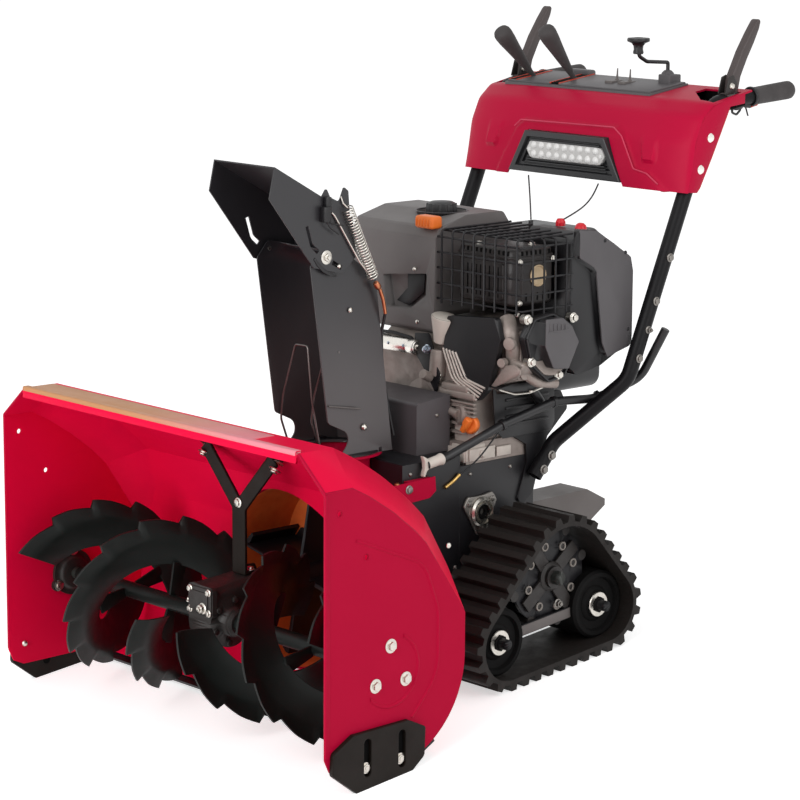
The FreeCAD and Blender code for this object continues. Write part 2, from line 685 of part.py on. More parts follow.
def shaft_bearing():
    """Cast flange bearing of the reduction shaft on the left chassis side."""
    at = V(chassis_half_width, 622, 325)
    body = revolve([(14, 0), (30, 0), (30, 6), (22, 14), (14, 14)], at, V(1, 0, 0))
    ears = [body]
    for turn in (80, 200, 320):
        angle = math.radians(turn)
        ears.append(Part.makeCylinder(9, 6, at + V(0, 36 * math.cos(angle), 36 * math.sin(angle)), V(1, 0, 0)))
        ears.append(prism([(at.y - 24 * math.sin(angle), at.z + 24 * math.cos(angle)),
                           (at.y + 36 * math.cos(angle) - 8 * math.sin(angle),
                            at.z + 36 * math.sin(angle) + 8 * math.cos(angle)),
                           (at.y + 36 * math.cos(angle) + 8 * math.sin(angle),
                            at.z + 36 * math.sin(angle) - 8 * math.cos(angle)),
                           (at.y + 24 * math.sin(angle), at.z - 24 * math.cos(angle))], "x", at.x, at.x + 6))
    return fuse(ears).cut(Part.makeCylinder(14, 40, at - V(5, 0, 0), V(1, 0, 0)))


def wing_bracket():
    """Folded support between the housing's back and the lower cover, left side."""
    rear = housing_profile(0.0)[0]
    plate = prism([(rear + 60, 388), (rear + 74, 402), (503, 407), (505, 381), (490, 370), (rear + 100, 366)],
                  "x", 150, 153)
    web = block((chassis_half_width, 151), (lower_cover_front + 4, 500), (402, 405))
    return fuse([plate, web])


def rear_bracket():
    """Handlebar bracket plate on the left of the chassis, with its cable ear."""
    x = chassis_half_width
    return prism([(700, 452), (790, 520, 8), (822, 522, 10), (842, 486, 8), (790, 440), (772, 400), (754, 340),
                  (730, 322), (716, 330, 6), (738, 400), (735, 432)], "x", x, x + 5)


def height_pedal():
    """Step plate of the track lock at the rear of the chassis."""
    x = chassis_half_width - 6
    outline = [(chassis_rear, 318), (909, 321), (957, 296), (957, 284), (919, 260), (chassis_rear, 296)]
    top = prism(outline, "x", x - 70, x)
    hollow = prism([(chassis_rear + 3, 300), (chassis_rear + 3, 315), (908, 318), (951, 295), (951, 200),
                    (chassis_rear + 3, 200)], "x", x - 67, x - 3)
    return top.cut(hollow)


# ------------------------------------------------------------------ engine
barrel_y = 688.0


def barrel_height(x):
    """Height of the inclined cylinder's axis at x."""
    return 590 + 0.22 * (x - 90)


def engine_block(grow=0.0):
    """Crankcase with its foot, ribs and drain boss, and the finned cylinder: one cast mass, its
    curved barrel grown by grow."""
    front = engine_front + 16
    foot = block((-110, chassis_half_width - 2), (engine_front - 8, 780), (chassis_top, engine_base_z + 10))
    case = prism([(-120, engine_base_z), (130, engine_base_z), (130, 520, 10), (150, 560, 20), (150, 640, 30),
                  (-60, 660, 30), (-120, 600, 30)], "y", front, shroud_front)
    ribs = [prism([(40, z), (128, z), (124, z + 5), (40, z + 5)], "y", engine_front, front + 1)
            for z in (464, 480, 514, 528)]
    cover = Part.makeCylinder(62, 14, V(20, front - 12, crank_z), V(0, 1, 0))
    boss = Part.makeCylinder(11, 22, V(108, engine_front - 4, 498), V(0, 1, 0))
    elbow = Part.makeCone(24, 12, 50, V(60, front - 4, 668), V(-0.25, 0, -1))
    barrel = Part.makeCylinder(46 + grow, 160, V(90, barrel_y, barrel_height(90)), V(1, 0, 0.22))
    fins = []
    for x in range(162, 232, 11):
        middle = barrel_height(x)
        fins.append(prism([(barrel_y - 56, middle - 48, 14), (barrel_y + 54, middle - 48, 14),
                           (barrel_y + 54, middle + 40, 14), (barrel_y - 56, middle + 40, 14)], "x", x, x + 4))
    shaft = rod(V(0, belt_cover_rear - 40, crank_z), V(0, 640, crank_z), 12.5)
    return fuse([foot, case, cover, boss, elbow, barrel, shaft] + ribs + fins)


def cylinder_duct():
    """Sheet cooling duct in front of the cylinder, with its curved ribs."""
    front = engine_front + 4
    plate = prism([(74, 672, 6), (196, 682, 6), (209, 644), (178, 551, 8), (153, 529), (64, 613)], "y", front,
                  engine_front + 16 - seat_gap)
    y = front - 0.5
    ribs = [tube([V(64 + 8 * k, y, 613 - k), V(88 + 9 * k, y, 560 + k), V(152 + 5 * k, y, 530 + 6 * k)], [30], 1.8)
            for k in range(5)]
    clear = block((-200, 63), (500, 700), (400, 700))
    return fuse([plate] + ribs).cut(clear).cut(Part.makeCone(24 + seat_gap, 12 + seat_gap, 50,
                                                              V(60, engine_front + 12, 668), V(-0.25, 0, -1)))


def filler_plugs():
    """Oil plug at the foot of the crankcase and the primer cap at the tank's corner."""
    plug_axis = V(0.35, -1, 0.25).normalize()
    at = V(138, engine_front + 1, 484)
    plug = fuse([revolve([(0, -10), (7, -10), (7, 0), (10, 0), (10, 9, 2), (0, 9)], at, plug_axis),
                 prism([(129, 478, 2), (147, 478, 2), (147, 492, 2), (129, 492, 2)], "y", engine_front - 16,
                       engine_front - 6)])
    plug = plug.cut(engine_block())
    cap = prism([(-12, 822, 3), (33, 822, 3), (33, 844, 6), (-12, 844, 6)], "y", 602, 630)
    return Part.makeCompound([plug, cap])


def plug_cap():
    """Red moulded cap on the intake cover that the thin lead goes to."""
    cap = revolve([(0, 0), (9, 0), (9, 7, 2), (6, 13, 2), (0, 13)], V(154, 806, 824 + seat_gap), V(0, 0, 1))
    return cap.cut(plug_lead())


def engine_shroud():
    """Blower housing at the rear of the engine."""
    return prism([(-80, 505, 30), (118, 505, 12), (118, 826, 16), (-80, 826, 90)], "y", shroud_front, shroud_rear)


def recoil_starter():
    """Round rope starter at the rear of the blower housing, with its stepped rings."""
    return revolve([(0, 0), (90, 0), (90, 44, 8), (80, 52, 4), (76, 66, 4), (58, 66), (54, 58), (30, 58), (26, 75, 5),
                    (0, 75)], V(28, shroud_rear, 688), V(0, 1, 0))


def valve_cover():
    """Eight-sided rocker cover on the cylinder head with its raised six-sided face."""
    base = prism([(622, 650, 8), (642, 684, 10), (690, 690, 14), (742, 662, 10), (748, 622, 10), (722, 572, 10),
                  (680, 566, 14), (636, 600, 10)], "x", 236, 250)
    face = prism([(654, 684, 8), (697, 683, 8), (720, 666, 6), (738, 636, 6), (713, 590, 8), (674, 594, 8),
                  (653, 636, 8)], "x", 249, 270)
    return fuse([base, face]).cut(engine_block(seat_gap))


def muffler():
    """Silencer box with its round outlet."""
    x0, x1 = guard_x[0] + 16, guard_x[1] - 16
    y0, y1 = guard_y[0] + 14, guard_y[1] - 10
    box = prism([(x0, guard_z[0] - 30), (x1, guard_z[0] - 30), (x1, guard_z[1] - 16, 12),
                 (x0, guard_z[1] - 16, 12)], "y", y0, y1)
    outlet = Part.makeCylinder(17, 10, V(x1 - 2, 700, 754), V(1, 0, 0))
    x_bars, z_bars = guard_bars(guard_x, guard_columns), guard_bars(guard_z, guard_rows)
    bosses = [rod(V(x_bars[index], guard_y[0] + guard_bar, z_bars[2]), V(x_bars[index], y0 + 5, z_bars[2]), 6)
              for index in (2, 5)]
    return fuse([box, outlet] + bosses).cut(engine_block(seat_gap))


guard_bar = 3.5
guard_columns, guard_rows, guard_depth = 7, 4, 4


def guard_bars(span, cells):
    """Centres of the bars that part span into cells."""
    step = (span[1] - span[0] - guard_bar) / cells
    return [span[0] + guard_bar / 2 + index * step for index in range(cells + 1)]


def muffler_guard():
    """Open grid of bars round the silencer: front, left side and top."""
    bar = guard_bar
    outer = block(guard_x, guard_y, guard_z)
    inner = block((guard_x[0] - 1, guard_x[1] - bar), (guard_y[0] + bar, guard_y[1] + 1),
                  (guard_z[0] - 1, guard_z[1] - bar))
    cage = outer.cut(inner)

    def cells(span, count):
        bars = guard_bars(span, count)
        return [(a + bar / 2, b - bar / 2) for a, b in zip(bars, bars[1:])]

    columns, rows, depths = cells(guard_x, guard_columns), cells(guard_z, guard_rows), cells(guard_y, guard_depth)
    front = (guard_y[0] - 1, guard_y[0] + bar + 1)
    side = (guard_x[1] - bar - 1, guard_x[1] + 1)
    top = (guard_z[1] - bar - 1, guard_z[1] + 1)
    windows = [block(x, front, z) for x in columns for z in rows]
    windows += [block(side, y, z) for y in depths for z in rows]
    windows += [block(x, y, top) for x in columns for y in depths]
    return cage.cut(windows)


cap_at = (-45, 700)           # fuel cap and the well it stands in
cap_well_radius = 47.0
cap_well_depth = 14.0


def front_cover():
    """Moulded tank and front cover of the engine, with its cap well and the hand hollow in front."""
    solid = prism([(608, 632, 10), (612, 806, 6), (622, 824, 10), (690, 842, 30), (shroud_front - 20, 842, 14),
                   (shroud_front, 815), (shroud_front, 700), (690, 632)], "x", -165, 33)
    well = Part.makeCone(cap_well_radius - 4, cap_well_radius, cap_well_depth + 1,
                         V(*cap_at, 842 - cap_well_depth), V(0, 0, 1))
    hollow = prism([(-104, 727, 4), (13, 740, 4), (11, 700, 4), (-29, 672, 6), (-92, 668, 6)], "y", 600, 628)
    seat = block((-12 - seat_gap, 34), (600, 630 + seat_gap), (822 - seat_gap, 900))
    engine_room = block((-121, 151), (engine_front + 16 - seat_gap, shroud_front + 1), (400, 662))
    elbow_room = block((30, 100), (600, 700), (600, 671))
    return solid.cut([well, hollow, seat, engine_room, elbow_room])


def fuel_cap():
    """Round ribbed cap on the tank, standing in its well."""
    return revolve([(0, 0), (27, 0), (29, 22, 4), (24, 30, 4), (0, 30)], V(*cap_at, 842 - cap_well_depth),
                   V(0, 0, 1))


def intake_cover():
    """Cold-weather air cover at the rear left of the engine: a deep body and its side panel."""
    body = prism([(748, 806, 8), (770, 824, 10), (800, 824, 10), (886, 768, 14), (890, 606, 14), (830, 578, 14),
                  (762, 566, 10), (748, 620)], "x", 118, 236)
    body = body.cut(block((117, 150 + seat_gap), (700, shroud_front + 1), (400, 662)))
    panel = prism([(757, 831, 6), (799, 826, 10), (890, 771, 12), (896, 610, 12), (829, 594, 10), (800, 752, 10),
                   (756, 780, 10)], "x", 235, 250)
    return fuse([body, panel])


def electric_starter():
    """Starter motor across the front of the crankcase, with its bracket plate."""
    y = engine_front - 2
    motor = Part.makeCylinder(14, 112, V(-110, y, 606), V(1, 0, 0))
    plate = prism([(-2, 630, 4), (30, 634, 8), (62, 560, 6), (52, 528, 6), (30, 560), (4, 590)], "y", y, y + 4)
    lug = block((20, 44), (y, engine_front + 16), (566, 590))
    return fuse([motor, plate, lug])


# ------------------------------------------------------------------ handlebars and dash
def handle_path():
    """Left handlebar's centre line: bracket, two bends out, upright, bend, grip."""
    return [V(159.5, 742, 374), V(164, 786, 432), V(handle_x, 868, 552), V(handle_x, 1078, 1036),
            V(handle_x, 1292, 1050)]


def handlebar():
    """Left handlebar tube."""
    return tube(handle_path(), [40, 50, 40], handle_tube_radius, handle_tube_radius - handle_wall)


def handle_grip():
    """Left hand grip over the end of the tube."""
    points = handle_path()
    along = (points[-1] - points[-2]).normalize()
    length = 108
    bore = handle_tube_radius + seat_gap
    profile = [(bore, 0), (bore + 2, 0), (bore + 3, 6), (bore + 3, length - 5, 4), (0, length), (0, length - 5),
               (bore, length - 5)]
    return revolve(profile, points[-1] - along * (length - 6), along)


def clutch_lever():
    """Left clutch paddle standing on its saddle round the handle tube."""
    outline = [(1112, 1050), (1130, 1050), (1206, 1178, 6), (1190, 1188, 6)]
    paddle = prism(outline, "x", handle_x - 9, handle_x + 9)
    points = handle_path()
    along = (points[-1] - points[-2]).normalize()
    at = points[-2] + along * 32
    saddle = Part.makeCylinder(handle_tube_radius + 4, 22, at, along)
    bore = Part.makeCylinder(handle_tube_radius + seat_gap, 80, at - along * 20, along)
    return fuse([paddle, saddle]).cut(bore)


dash_screws = [(1028, 921), (1053, 979)]


def dash_section(x, spread, inset):
    """Console cross-section; spread 1 is the swept-back end, 0 the middle."""
    low = 8 * (inset > 0)
    front = [(976 + 21 * spread, 882 - low), (978 + 32 * spread, 920, 150), (986 + 47 * spread, 972, 90),
             (1012 + 45 * spread, 1020 - 16 * spread, 60), (1046 + 44 * spread, 1042 - 7 * spread, 50), (1162, 1058)]
    corners = [(y + inset, z - inset * (index > 2), *rest) for index, (y, z, *rest) in enumerate(front)]
    corners += [(1162 + inset, 1050 - 2 * inset), (1090 + inset, 1022 - 2 * inset), (1000 + 2 * inset, 879 - low)]
    return rounded_wire(corners, PLACERS["x"](x))


def dash_form(half, inset):
    """Filled console form through its cross-sections, which sweep back towards both ends."""
    reach = 130.0
    steps = 5
    left = []
    for step in range(steps + 1):
        share = step / steps
        left.append((half - reach * (1 - share) ** 1.5, share ** 2))
    stations = [(-x, spread) for x, spread in reversed(left)] + left
    return Part.makeLoft([dash_section(x, spread, inset) for x, spread in stations], True, True)


def dash_shell():
    """Moulded console shell between the handles, open below and behind."""
    half = dash_half_width
    shell = dash_form(half, 0.0).cut(dash_form(half - 4, 4.0))
    for side in (1, -1):
        x = sorted((side * (handle_x - 34), side * (half + 10)))
        shell = shell.cut(block(x, (1050, 1300), (1000, 1100)))
    bosses = [Part.makeCylinder(8, 12, V(half - 15, y, z), V(1, 0, 0)) for y, z in dash_screws]
    bosses += [mirror_x(boss) for boss in bosses]
    tubes = both_sides(tube(handle_path(), [40, 50, 40], handle_tube_radius))
    shell = fuse([shell] + bosses).cut(tubes)
    return shell.cut(dash_panel()).cut(lamp_form(seat_gap, -20, 60))


def dash_panel():
    """Control panel on the console's top."""
    return prism([(1050, 1034), (1156, 1049), (1156, 1061), (1050, 1047)], "x", -240, 190)


def lamp_form(grow, front, depth):
    """Trapezoid outline of the lamp, grown by grow, from front rearwards."""
    y = 976 + front
    return prism([(-146 - grow, 888 - grow), (146 + grow, 888 - grow), (103 + grow, 968 + grow),
                  (-103 - grow, 968 + grow)], "y", y, y + depth)


def work_light():
    """Lamp and bezel in the console's front."""
    return lamp_form(0.0, 0, 24)


def shift_lever(x, lean_y):
    """One lever with its tapered knob."""
    base = V(x, 1112, 1052)
    top = V(x, 1112 + lean_y, 1150)
    axis = (top - base).normalize()
    profile = [(0, 0), (4, 0), (5, 25), (9, 35), (15, 95), (13, 112), (0, 114)]
    return revolve(profile, base, axis).cut(dash_panel())


def chute_crank():
    """Crank with its round knob."""
    bar = tube([V(100, 1142, 1059), V(100, 1142, 1096), V(100, 1060, 1112), V(100, 1060, 1125)], [8, 8], 3.5)
    knob = revolve([(0, 0), (6, 0), (7, 12), (20, 24), (19, 30), (0, 30)], V(100, 1060, 1117), V(0, 0, 1))
    return fuse([bar, knob]).cut(dash_panel())


def control_conduit():
    """Cable sleeve from the drive cover to the left handlebar."""
    points = [V(148.4, 486, 429), V(150, 535, 437), V(175, 645, 484), V(190, 760, 514), V(205, 852, 510),
              V(254, 918, 548), V(299, 932, 640)]
    return tube(points, [90, 120, 120, 60, 50], 8)


def cord_tube(name, points, radius):
    """Free cable along points: each bend is as wide as its two runs allow, and is printed."""
    radii = []
    for before, here, following in zip(points, points[1:], points[2:]):
        back, ahead = before - here, following - here
        turn = math.pi - back.getAngle(ahead)
        radii.append(0.45 * min(back.Length, ahead.Length) / math.tan(turn / 2))
    print(name, "bends", [round(value) for value in radii])
    if not radii:
        return rod(points[0], points[-1], radius)
    return tube(points, radii, radius)


def throttle_cable():
    """Inner cable pulled straight from the console down to the blower housing."""
    under_console = V(-100, 978, 882 - seat_gap - cable_radius)
    return cord_tube("throttle_cable", [under_console, V(73, 812, 826 + seat_gap + cable_radius)], cable_radius)


def plug_lead():
    """Thin lead hanging from the console to the red cap on the intake cover."""
    points = [V(82, 978, 882 - seat_gap - cable_radius), V(103, 946, 867), V(126, 902, 853), V(142, 858, 843),
              V(152.5, 813, 834)]
    return cord_tube("plug_lead", points, cable_radius)


def gear_cable():
    """Short cable from the conduit down to the side of the drive cover."""
    points = [V(172, 640, 472), V(168, 622, 452), V(160, 604, 428), V(150, 584, 408),
              V(140 + seat_gap + cable_radius, 563, 394)]
    return cord_tube("gear_cable", points, cable_radius)


# ------------------------------------------------------------------ tracks (ground frame, drive axle at the origin)
def track_nodes():
    """Centres and radii of the three wheels inside a track."""
    low = -(axle_height - idler_radius - belt_thickness - lug_height)
    return [(front_idler_y, low, idler_radius), (rear_idler_y, low, idler_radius), (0.0, 0.0, drive_arc_radius)]


def belt_outline(offset):
    """Tangent lines and arcs round the three wheels, grown by offset."""
    wheels = track_nodes()
    edges = []
    ends = []
    for index in range(3):
        y1, z1, r1 = wheels[index]
        y2, z2, r2 = wheels[(index + 1) % 3]
        dy, dz = y2 - y1, z2 - z1
        span = math.hypot(dy, dz)
        along = math.atan2(dz, dy)
        tilt = math.asin((r1 - r2) / span)
        normal = along - math.pi / 2 + tilt
        a = (y1 + (r1 + offset) * math.cos(normal), z1 + (r1 + offset) * math.sin(normal))
        b = (y2 + (r2 + offset) * math.cos(normal), z2 + (r2 + offset) * math.sin(normal))
        ends.append((a, b, normal))
    for index in range(3):
        a, b, normal = ends[index]
        y2, z2, r2 = wheels[(index + 1) % 3]
        following = ends[(index + 1) % 3]
        edges.append(Part.makeLine(V(0, *a), V(0, *b)))
        turn = following[2]
        while turn < normal:
            turn += 2 * math.pi
        half = (normal + turn) / 2
        middle = V(0, y2 + (r2 + offset) * math.cos(half), z2 + (r2 + offset) * math.sin(half))
        edges.append(Part.Arc(V(0, *b), middle, V(0, *following[0])).toShape())
    return Part.Wire(edges)


def track_belt():
    """Left rubber track: belt loop with cross lugs."""
    inner_x = track_outer_x - track_width
    outer = Part.Face(belt_outline(belt_thickness)).extrude(V(track_width, 0, 0))
    inner = Part.Face(belt_outline(0)).extrude(V(track_width, 0, 0))
    belt = outer.cut(inner)
    path = belt_outline(belt_thickness)
    count = 34
    lugs = []
    length = path.Length
    for point, tangent in track_stations(path, length, count):
        out = V(0, tangent.z, -tangent.y)
        root, tip = 9.5, 6.0
        corners = [point - tangent * root - out * 1, point + tangent * root - out * 1,
                   point + tangent * tip + out * lug_height, point - tangent * tip + out * lug_height]
        wire = Part.makePolygon(corners + [corners[0]])
        lugs.append(Part.Face(wire).extrude(V(track_width, 0, 0)))
    solid = belt.multiFuse(lugs)
    solid.translate(V(inner_x, 0, 0))
    return solid


def track_stations(path, length, count):
    """Evenly spaced points and tangents along the loop."""
    stations = []
    step = length / count
    for index in range(count):
        distance = step * index
        for edge in path.OrderedEdges:
            if distance <= edge.Length:
                forward = edge.Orientation == "Forward"
                parameter = edge.getParameterByLength(distance if forward else edge.Length - distance)
                point = edge.valueAt(parameter)
                tangent = edge.tangentAt(parameter)
                stations.append((point, tangent if forward else tangent * -1))
                break
            distance -= edge.Length
    return stations


idler_hub_radius = 22.0
idler_rim = 26.0


def idler_wheel(y, z):
    """Left idler: two rims on one hub, the outer rim dished."""
    x = track_outer_x - track_width + 12
    width = track_width - 24
    rim = idler_rim
    hub = idler_hub_radius
    radius = idler_radius - seat_gap
    profile = [(10, 0), (radius, 0), (radius, rim), (hub, rim), (hub, width - rim), (radius, width - rim),
               (radius, width), (radius - 8, width), (radius - 12, width - 10), (28, width - 10), (24, width),
               (10, width)]
    return revolve(profile, V(x, y, z), V(1, 0, 0))


def sprocket():
    """Left drive sprocket: two plates, a ring of tie pins and the rollers that drive the track."""
    x = track_outer_x - track_width
    axle = V(1, 0, 0)
    pieces = [Part.makeCylinder(drive_arc_radius - 12, 6, V(x + offset, 0, 0), axle) for offset in (46, 84)]
    pieces.append(Part.makeCylinder(24, 84, V(x + 12, 0, 0), axle))
    for index in range(8):
        angle = math.radians(45 * index + 10)
        pin = V(x + 46, 58 * math.cos(angle), 58 * math.sin(angle))
        pieces.append(Part.makeCylinder(8, 50, pin, axle))
        reach = drive_arc_radius - 9 - seat_gap
        roller = V(x + 46, reach * math.cos(angle), reach * math.sin(angle))
        pieces.append(Part.makeCylinder(9, 44, roller, axle))
    return fuse(pieces).cut(Part.makeCylinder(axle_radius + running_gap, 500, V(0, 0, 0), axle))


def track_frame():
    """Left side frame carrying both idlers, and its tension bar."""
    low = track_nodes()[0][1]
    x = track_outer_x - track_width - 10
    front, rear = front_idler_y - 20, rear_idler_y + 20
    plate = prism([(front, low - 18, 10), (rear, low - 18, 10), (rear, low + 18, 10), (22, 26, 16), (-22, 26, 16),
                   (front, low + 18, 10)], "x", x, x + 6)
    axles = []
    for y in (front_idler_y, rear_idler_y):
        axles.append(rod(V(x, y, low), V(track_outer_x - 8, y, low), 9.7))
    plate = fuse([plate] + axles).cut(Part.makeCylinder(axle_radius + running_gap, 500, V(0, 0, 0), V(1, 0, 0)))
    wheel_x = track_outer_x - track_width + 12
    bar_x = wheel_x + track_width - 24 - idler_rim - 9
    hub = idler_hub_radius + seat_gap
    bar = block((bar_x, bar_x + 6), (front_idler_y, rear_idler_y), (low - 10, low + 10))
    for y in (front_idler_y, rear_idler_y):
        bar = bar.fuse(Part.makeCylinder(hub + 7, 6, V(bar_x, y, low), V(1, 0, 0)))
    for y in (front_idler_y, rear_idler_y):
        bar = bar.cut(Part.makeCylinder(hub, 500, V(0, y, low), V(1, 0, 0)))
    return Part.makeCompound([plate, bar])


def drive_axle():
    """Cross axle between the tracks."""
    half = track_outer_x - 20
    return rod(V(-half, 0, 0), V(half, 0, 0), axle_radius)


# ------------------------------------------------------------------ placing and writing
def to_ground(shape):
    """Place a machine-frame shape: pitched about the drive axle, axle at its height."""
    placed = shape.copy()
    placed.rotate(V(0, axle_y, axle_z), V(1, 0, 0), -pitch)
    placed.translate(V(0, 0, axle_height - axle_z))
    return placed


def track_to_ground(shape):
    """Place an undercarriage shape."""
    placed = shape.copy()
    placed.translate(V(0, axle_y, axle_height))
    return placed


def build():
    """All sub-parts by node name, in the ground frame."""
    wrapper, side_plate = housing()
    upper = {
        "housing_wrapper": wrapper,
        "side_plate_left": side_plate,
        "side_plate_right": mirror_x(side_plate),
        "impeller_drum": impeller_drum(),
        "chute_base_flange": chute_base(),
        "scraper_bar": scraper_bar(),
        "skid_shoe_left": skid_shoe(),
        "skid_shoe_right": mirror_x(skid_shoe()),
        "auger_bearings": both_sides(bearing_flange()),
        "auger_gearbox": auger_gearbox(),
        "gearbox_brace": gearbox_brace(),
        "auger_shaft": auger_shaft(),
        "auger_flight_left": auger_flight(),
        "auger_flight_right": mirror_x(auger_flight()),
        "impeller": impeller(),
        "chute": chute(),
        "chute_deflector": deflector(),
        "chassis_frame": chassis_frame(),
        "lower_cover": lower_cover(),
        "belt_cover": belt_cover(),
        "axle_bearings": both_sides(axle_bearing()),
        "shaft_bearings": both_sides(shaft_bearing()),
        "wing_brackets": both_sides(wing_bracket()),
        "handle_brackets": both_sides(rear_bracket()),
        "height_pedal": height_pedal(),
        "engine_block": engine_block(),
        "blower_housing": engine_shroud(),
        "recoil_starter": recoil_starter(),
        "valve_cover": valve_cover(),
        "muffler": muffler(),
        "muffler_guard": muffler_guard(),
        "fuel_tank": front_cover(),
        "fuel_cap": fuel_cap(),
        "air_intake_cover": intake_cover(),
        "electric_starter": electric_starter(),
        "handlebar_left": handlebar(),
        "handlebar_right": mirror_x(handlebar()),
        "hand_grips": both_sides(handle_grip()),
        "clutch_levers": both_sides(clutch_lever()),
        "dash_shell": dash_shell(),
        "dash_panel": dash_panel(),
        "work_light": work_light(),
        "shift_levers": Part.makeCompound([shift_lever(-220, -104), shift_lever(-110, -88)]),
        "chute_crank": chute_crank(),
        "control_conduit": control_conduit(),
        "cylinder_duct": cylinder_duct(),
        "filler_plugs": filler_plugs(),
        "plug_cap": plug_cap(),
        "throttle_cable": throttle_cable(),
        "plug_lead": plug_lead(),
        "gear_cable": gear_cable(),
    }
    lower = {
        "track_left": track_belt(),
        "track_right": mirror_x(track_belt()),
        "idler_wheels_left": Part.makeCompound([idler_wheel(y, z) for y, z, r in track_nodes()[:2]]),
        "drive_sprocket_left": sprocket(),
        "track_frame_left": track_frame(),
        "drive_axle": drive_axle(),
    }
    for name in ("idler_wheels", "drive_sprocket", "track_frame"):
        lower[name + "_right"] = mirror_x(lower[name + "_left"])
    placed = {name: to_ground(shape) for name, shape in upper.items()}
    placed.update({name: track_to_ground(shape) for name, shape in lower.items()})
    return placed


def main():
    """Build, centre the frame on the footprint and write one STEP file a node."""
    nodes = build()
    whole = Part.makeCompound(list(nodes.values()))
    box = whole.optimalBoundingBox(False)
    shift = V(0, -(box.YMin + box.YMax) / 2, 0)
    for name, shape in nodes.items():
        shape.translate(shift)
        shape.exportStep("parts/" + name + ".step")
    print("frame shift along Y", round(shift.y, 3), "lowest", round(box.ZMin, 3))
    print("size", round(box.XLength, 1), round(box.YLength, 1), round(box.ZLength, 1))


main()
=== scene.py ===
"""Looks of a tracked snow blower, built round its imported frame.

Pieces of the upper machine are modelled in the machine frame, in millimetres: X across with +X on
the operator's left, Y rearwards, Z up, level with the housing.  Pieces of the tracks are modelled in
the track frame, whose origin is the drive axle.  The Workshop places both in the part's own frame.
"""

import json
import logging
import math
from dataclasses import dataclass, field
from enum import Enum
from typing import ClassVar, Iterator, Optional, Sequence

import bmesh
import bpy
from mathutils import Matrix, Vector

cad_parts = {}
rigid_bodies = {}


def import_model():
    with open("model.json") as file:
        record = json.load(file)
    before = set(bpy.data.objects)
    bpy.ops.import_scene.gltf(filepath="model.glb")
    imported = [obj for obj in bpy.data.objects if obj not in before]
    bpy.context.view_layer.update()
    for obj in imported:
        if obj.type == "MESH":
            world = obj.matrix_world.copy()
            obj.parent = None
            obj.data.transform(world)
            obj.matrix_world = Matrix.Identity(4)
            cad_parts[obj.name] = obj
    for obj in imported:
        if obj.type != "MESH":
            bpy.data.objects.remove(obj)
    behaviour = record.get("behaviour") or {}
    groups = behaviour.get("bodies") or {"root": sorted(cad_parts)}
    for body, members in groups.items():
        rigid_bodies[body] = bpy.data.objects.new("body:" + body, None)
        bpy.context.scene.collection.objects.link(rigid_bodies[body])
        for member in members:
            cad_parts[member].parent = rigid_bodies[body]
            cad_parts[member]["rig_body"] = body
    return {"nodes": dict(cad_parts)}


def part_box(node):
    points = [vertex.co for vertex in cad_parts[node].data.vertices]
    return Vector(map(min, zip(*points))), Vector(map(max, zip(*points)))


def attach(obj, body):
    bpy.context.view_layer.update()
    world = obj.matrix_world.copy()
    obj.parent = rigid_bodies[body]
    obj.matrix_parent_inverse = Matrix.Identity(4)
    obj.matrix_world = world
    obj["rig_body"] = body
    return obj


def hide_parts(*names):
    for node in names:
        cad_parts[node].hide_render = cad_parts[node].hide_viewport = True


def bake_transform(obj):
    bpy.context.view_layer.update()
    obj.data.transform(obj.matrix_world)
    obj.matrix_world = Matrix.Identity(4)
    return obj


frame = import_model()

log = logging.getLogger("snow_blower")
MM = 0.001
SHARP_ANGLE = math.radians(35)
MERGE_DISTANCE = 0.01
BEND_STEPS = 6
SIDES = (1, -1)
Pair = tuple[float, float]
Point = tuple[float, float, float]


class Body(str, Enum):
    """Bodies of the part that a piece can ride on."""

    CHASSIS = "chassis"
    UNDERCARRIAGE = "undercarriage"
    IMPELLER = "impeller_rotor"
    AUGER = "auger"
    CHUTE = "chute_body"
    DEFLECTOR = "deflector"


class Placing(Enum):
    """Frame in which a piece is modelled."""

    MACHINE = "machine"
    TRACK = "track"


# ---------------------------------------------------------------------------- colours and nodes
def linear(code: str) -> tuple[float, float, float, float]:
    """Turn an sRGB hex colour into a linear one.

    Args:
        code: colour such as "#BA0F3C".

    Returns:
        Linear red, green, blue and an alpha of 1.
    """
    parts = [int(code[i:i + 2], 16) / 255 for i in (1, 3, 5)]
    turned = [p / 12.92 if p <= 0.04045 else ((p + 0.055) / 1.055) ** 2.4 for p in parts]
    return (*turned, 1.0)


def add_node(
    tree: bpy.types.NodeTree,
    kind: str,
    settings: Optional[dict] = None,
    values: Optional[dict] = None,
    links: Optional[dict] = None,
) -> bpy.types.Node:
    """Add one node with its settings, socket values and incoming links.

    Args:
        tree: node tree that gets the node.
        kind: Blender's node type.
        settings: attributes of the node.
        values: constants of its input sockets, by name or index.
        links: output sockets that feed its inputs, by name or index.

    Returns:
        The new node.
    """
    node = tree.nodes.new(kind)
    for name, value in (settings or {}).items():
        setattr(node, name, value)
    for socket, value in (values or {}).items():
        node.inputs[socket].default_value = value
    for socket, source in (links or {}).items():
        tree.links.new(source, node.inputs[socket])
    return node


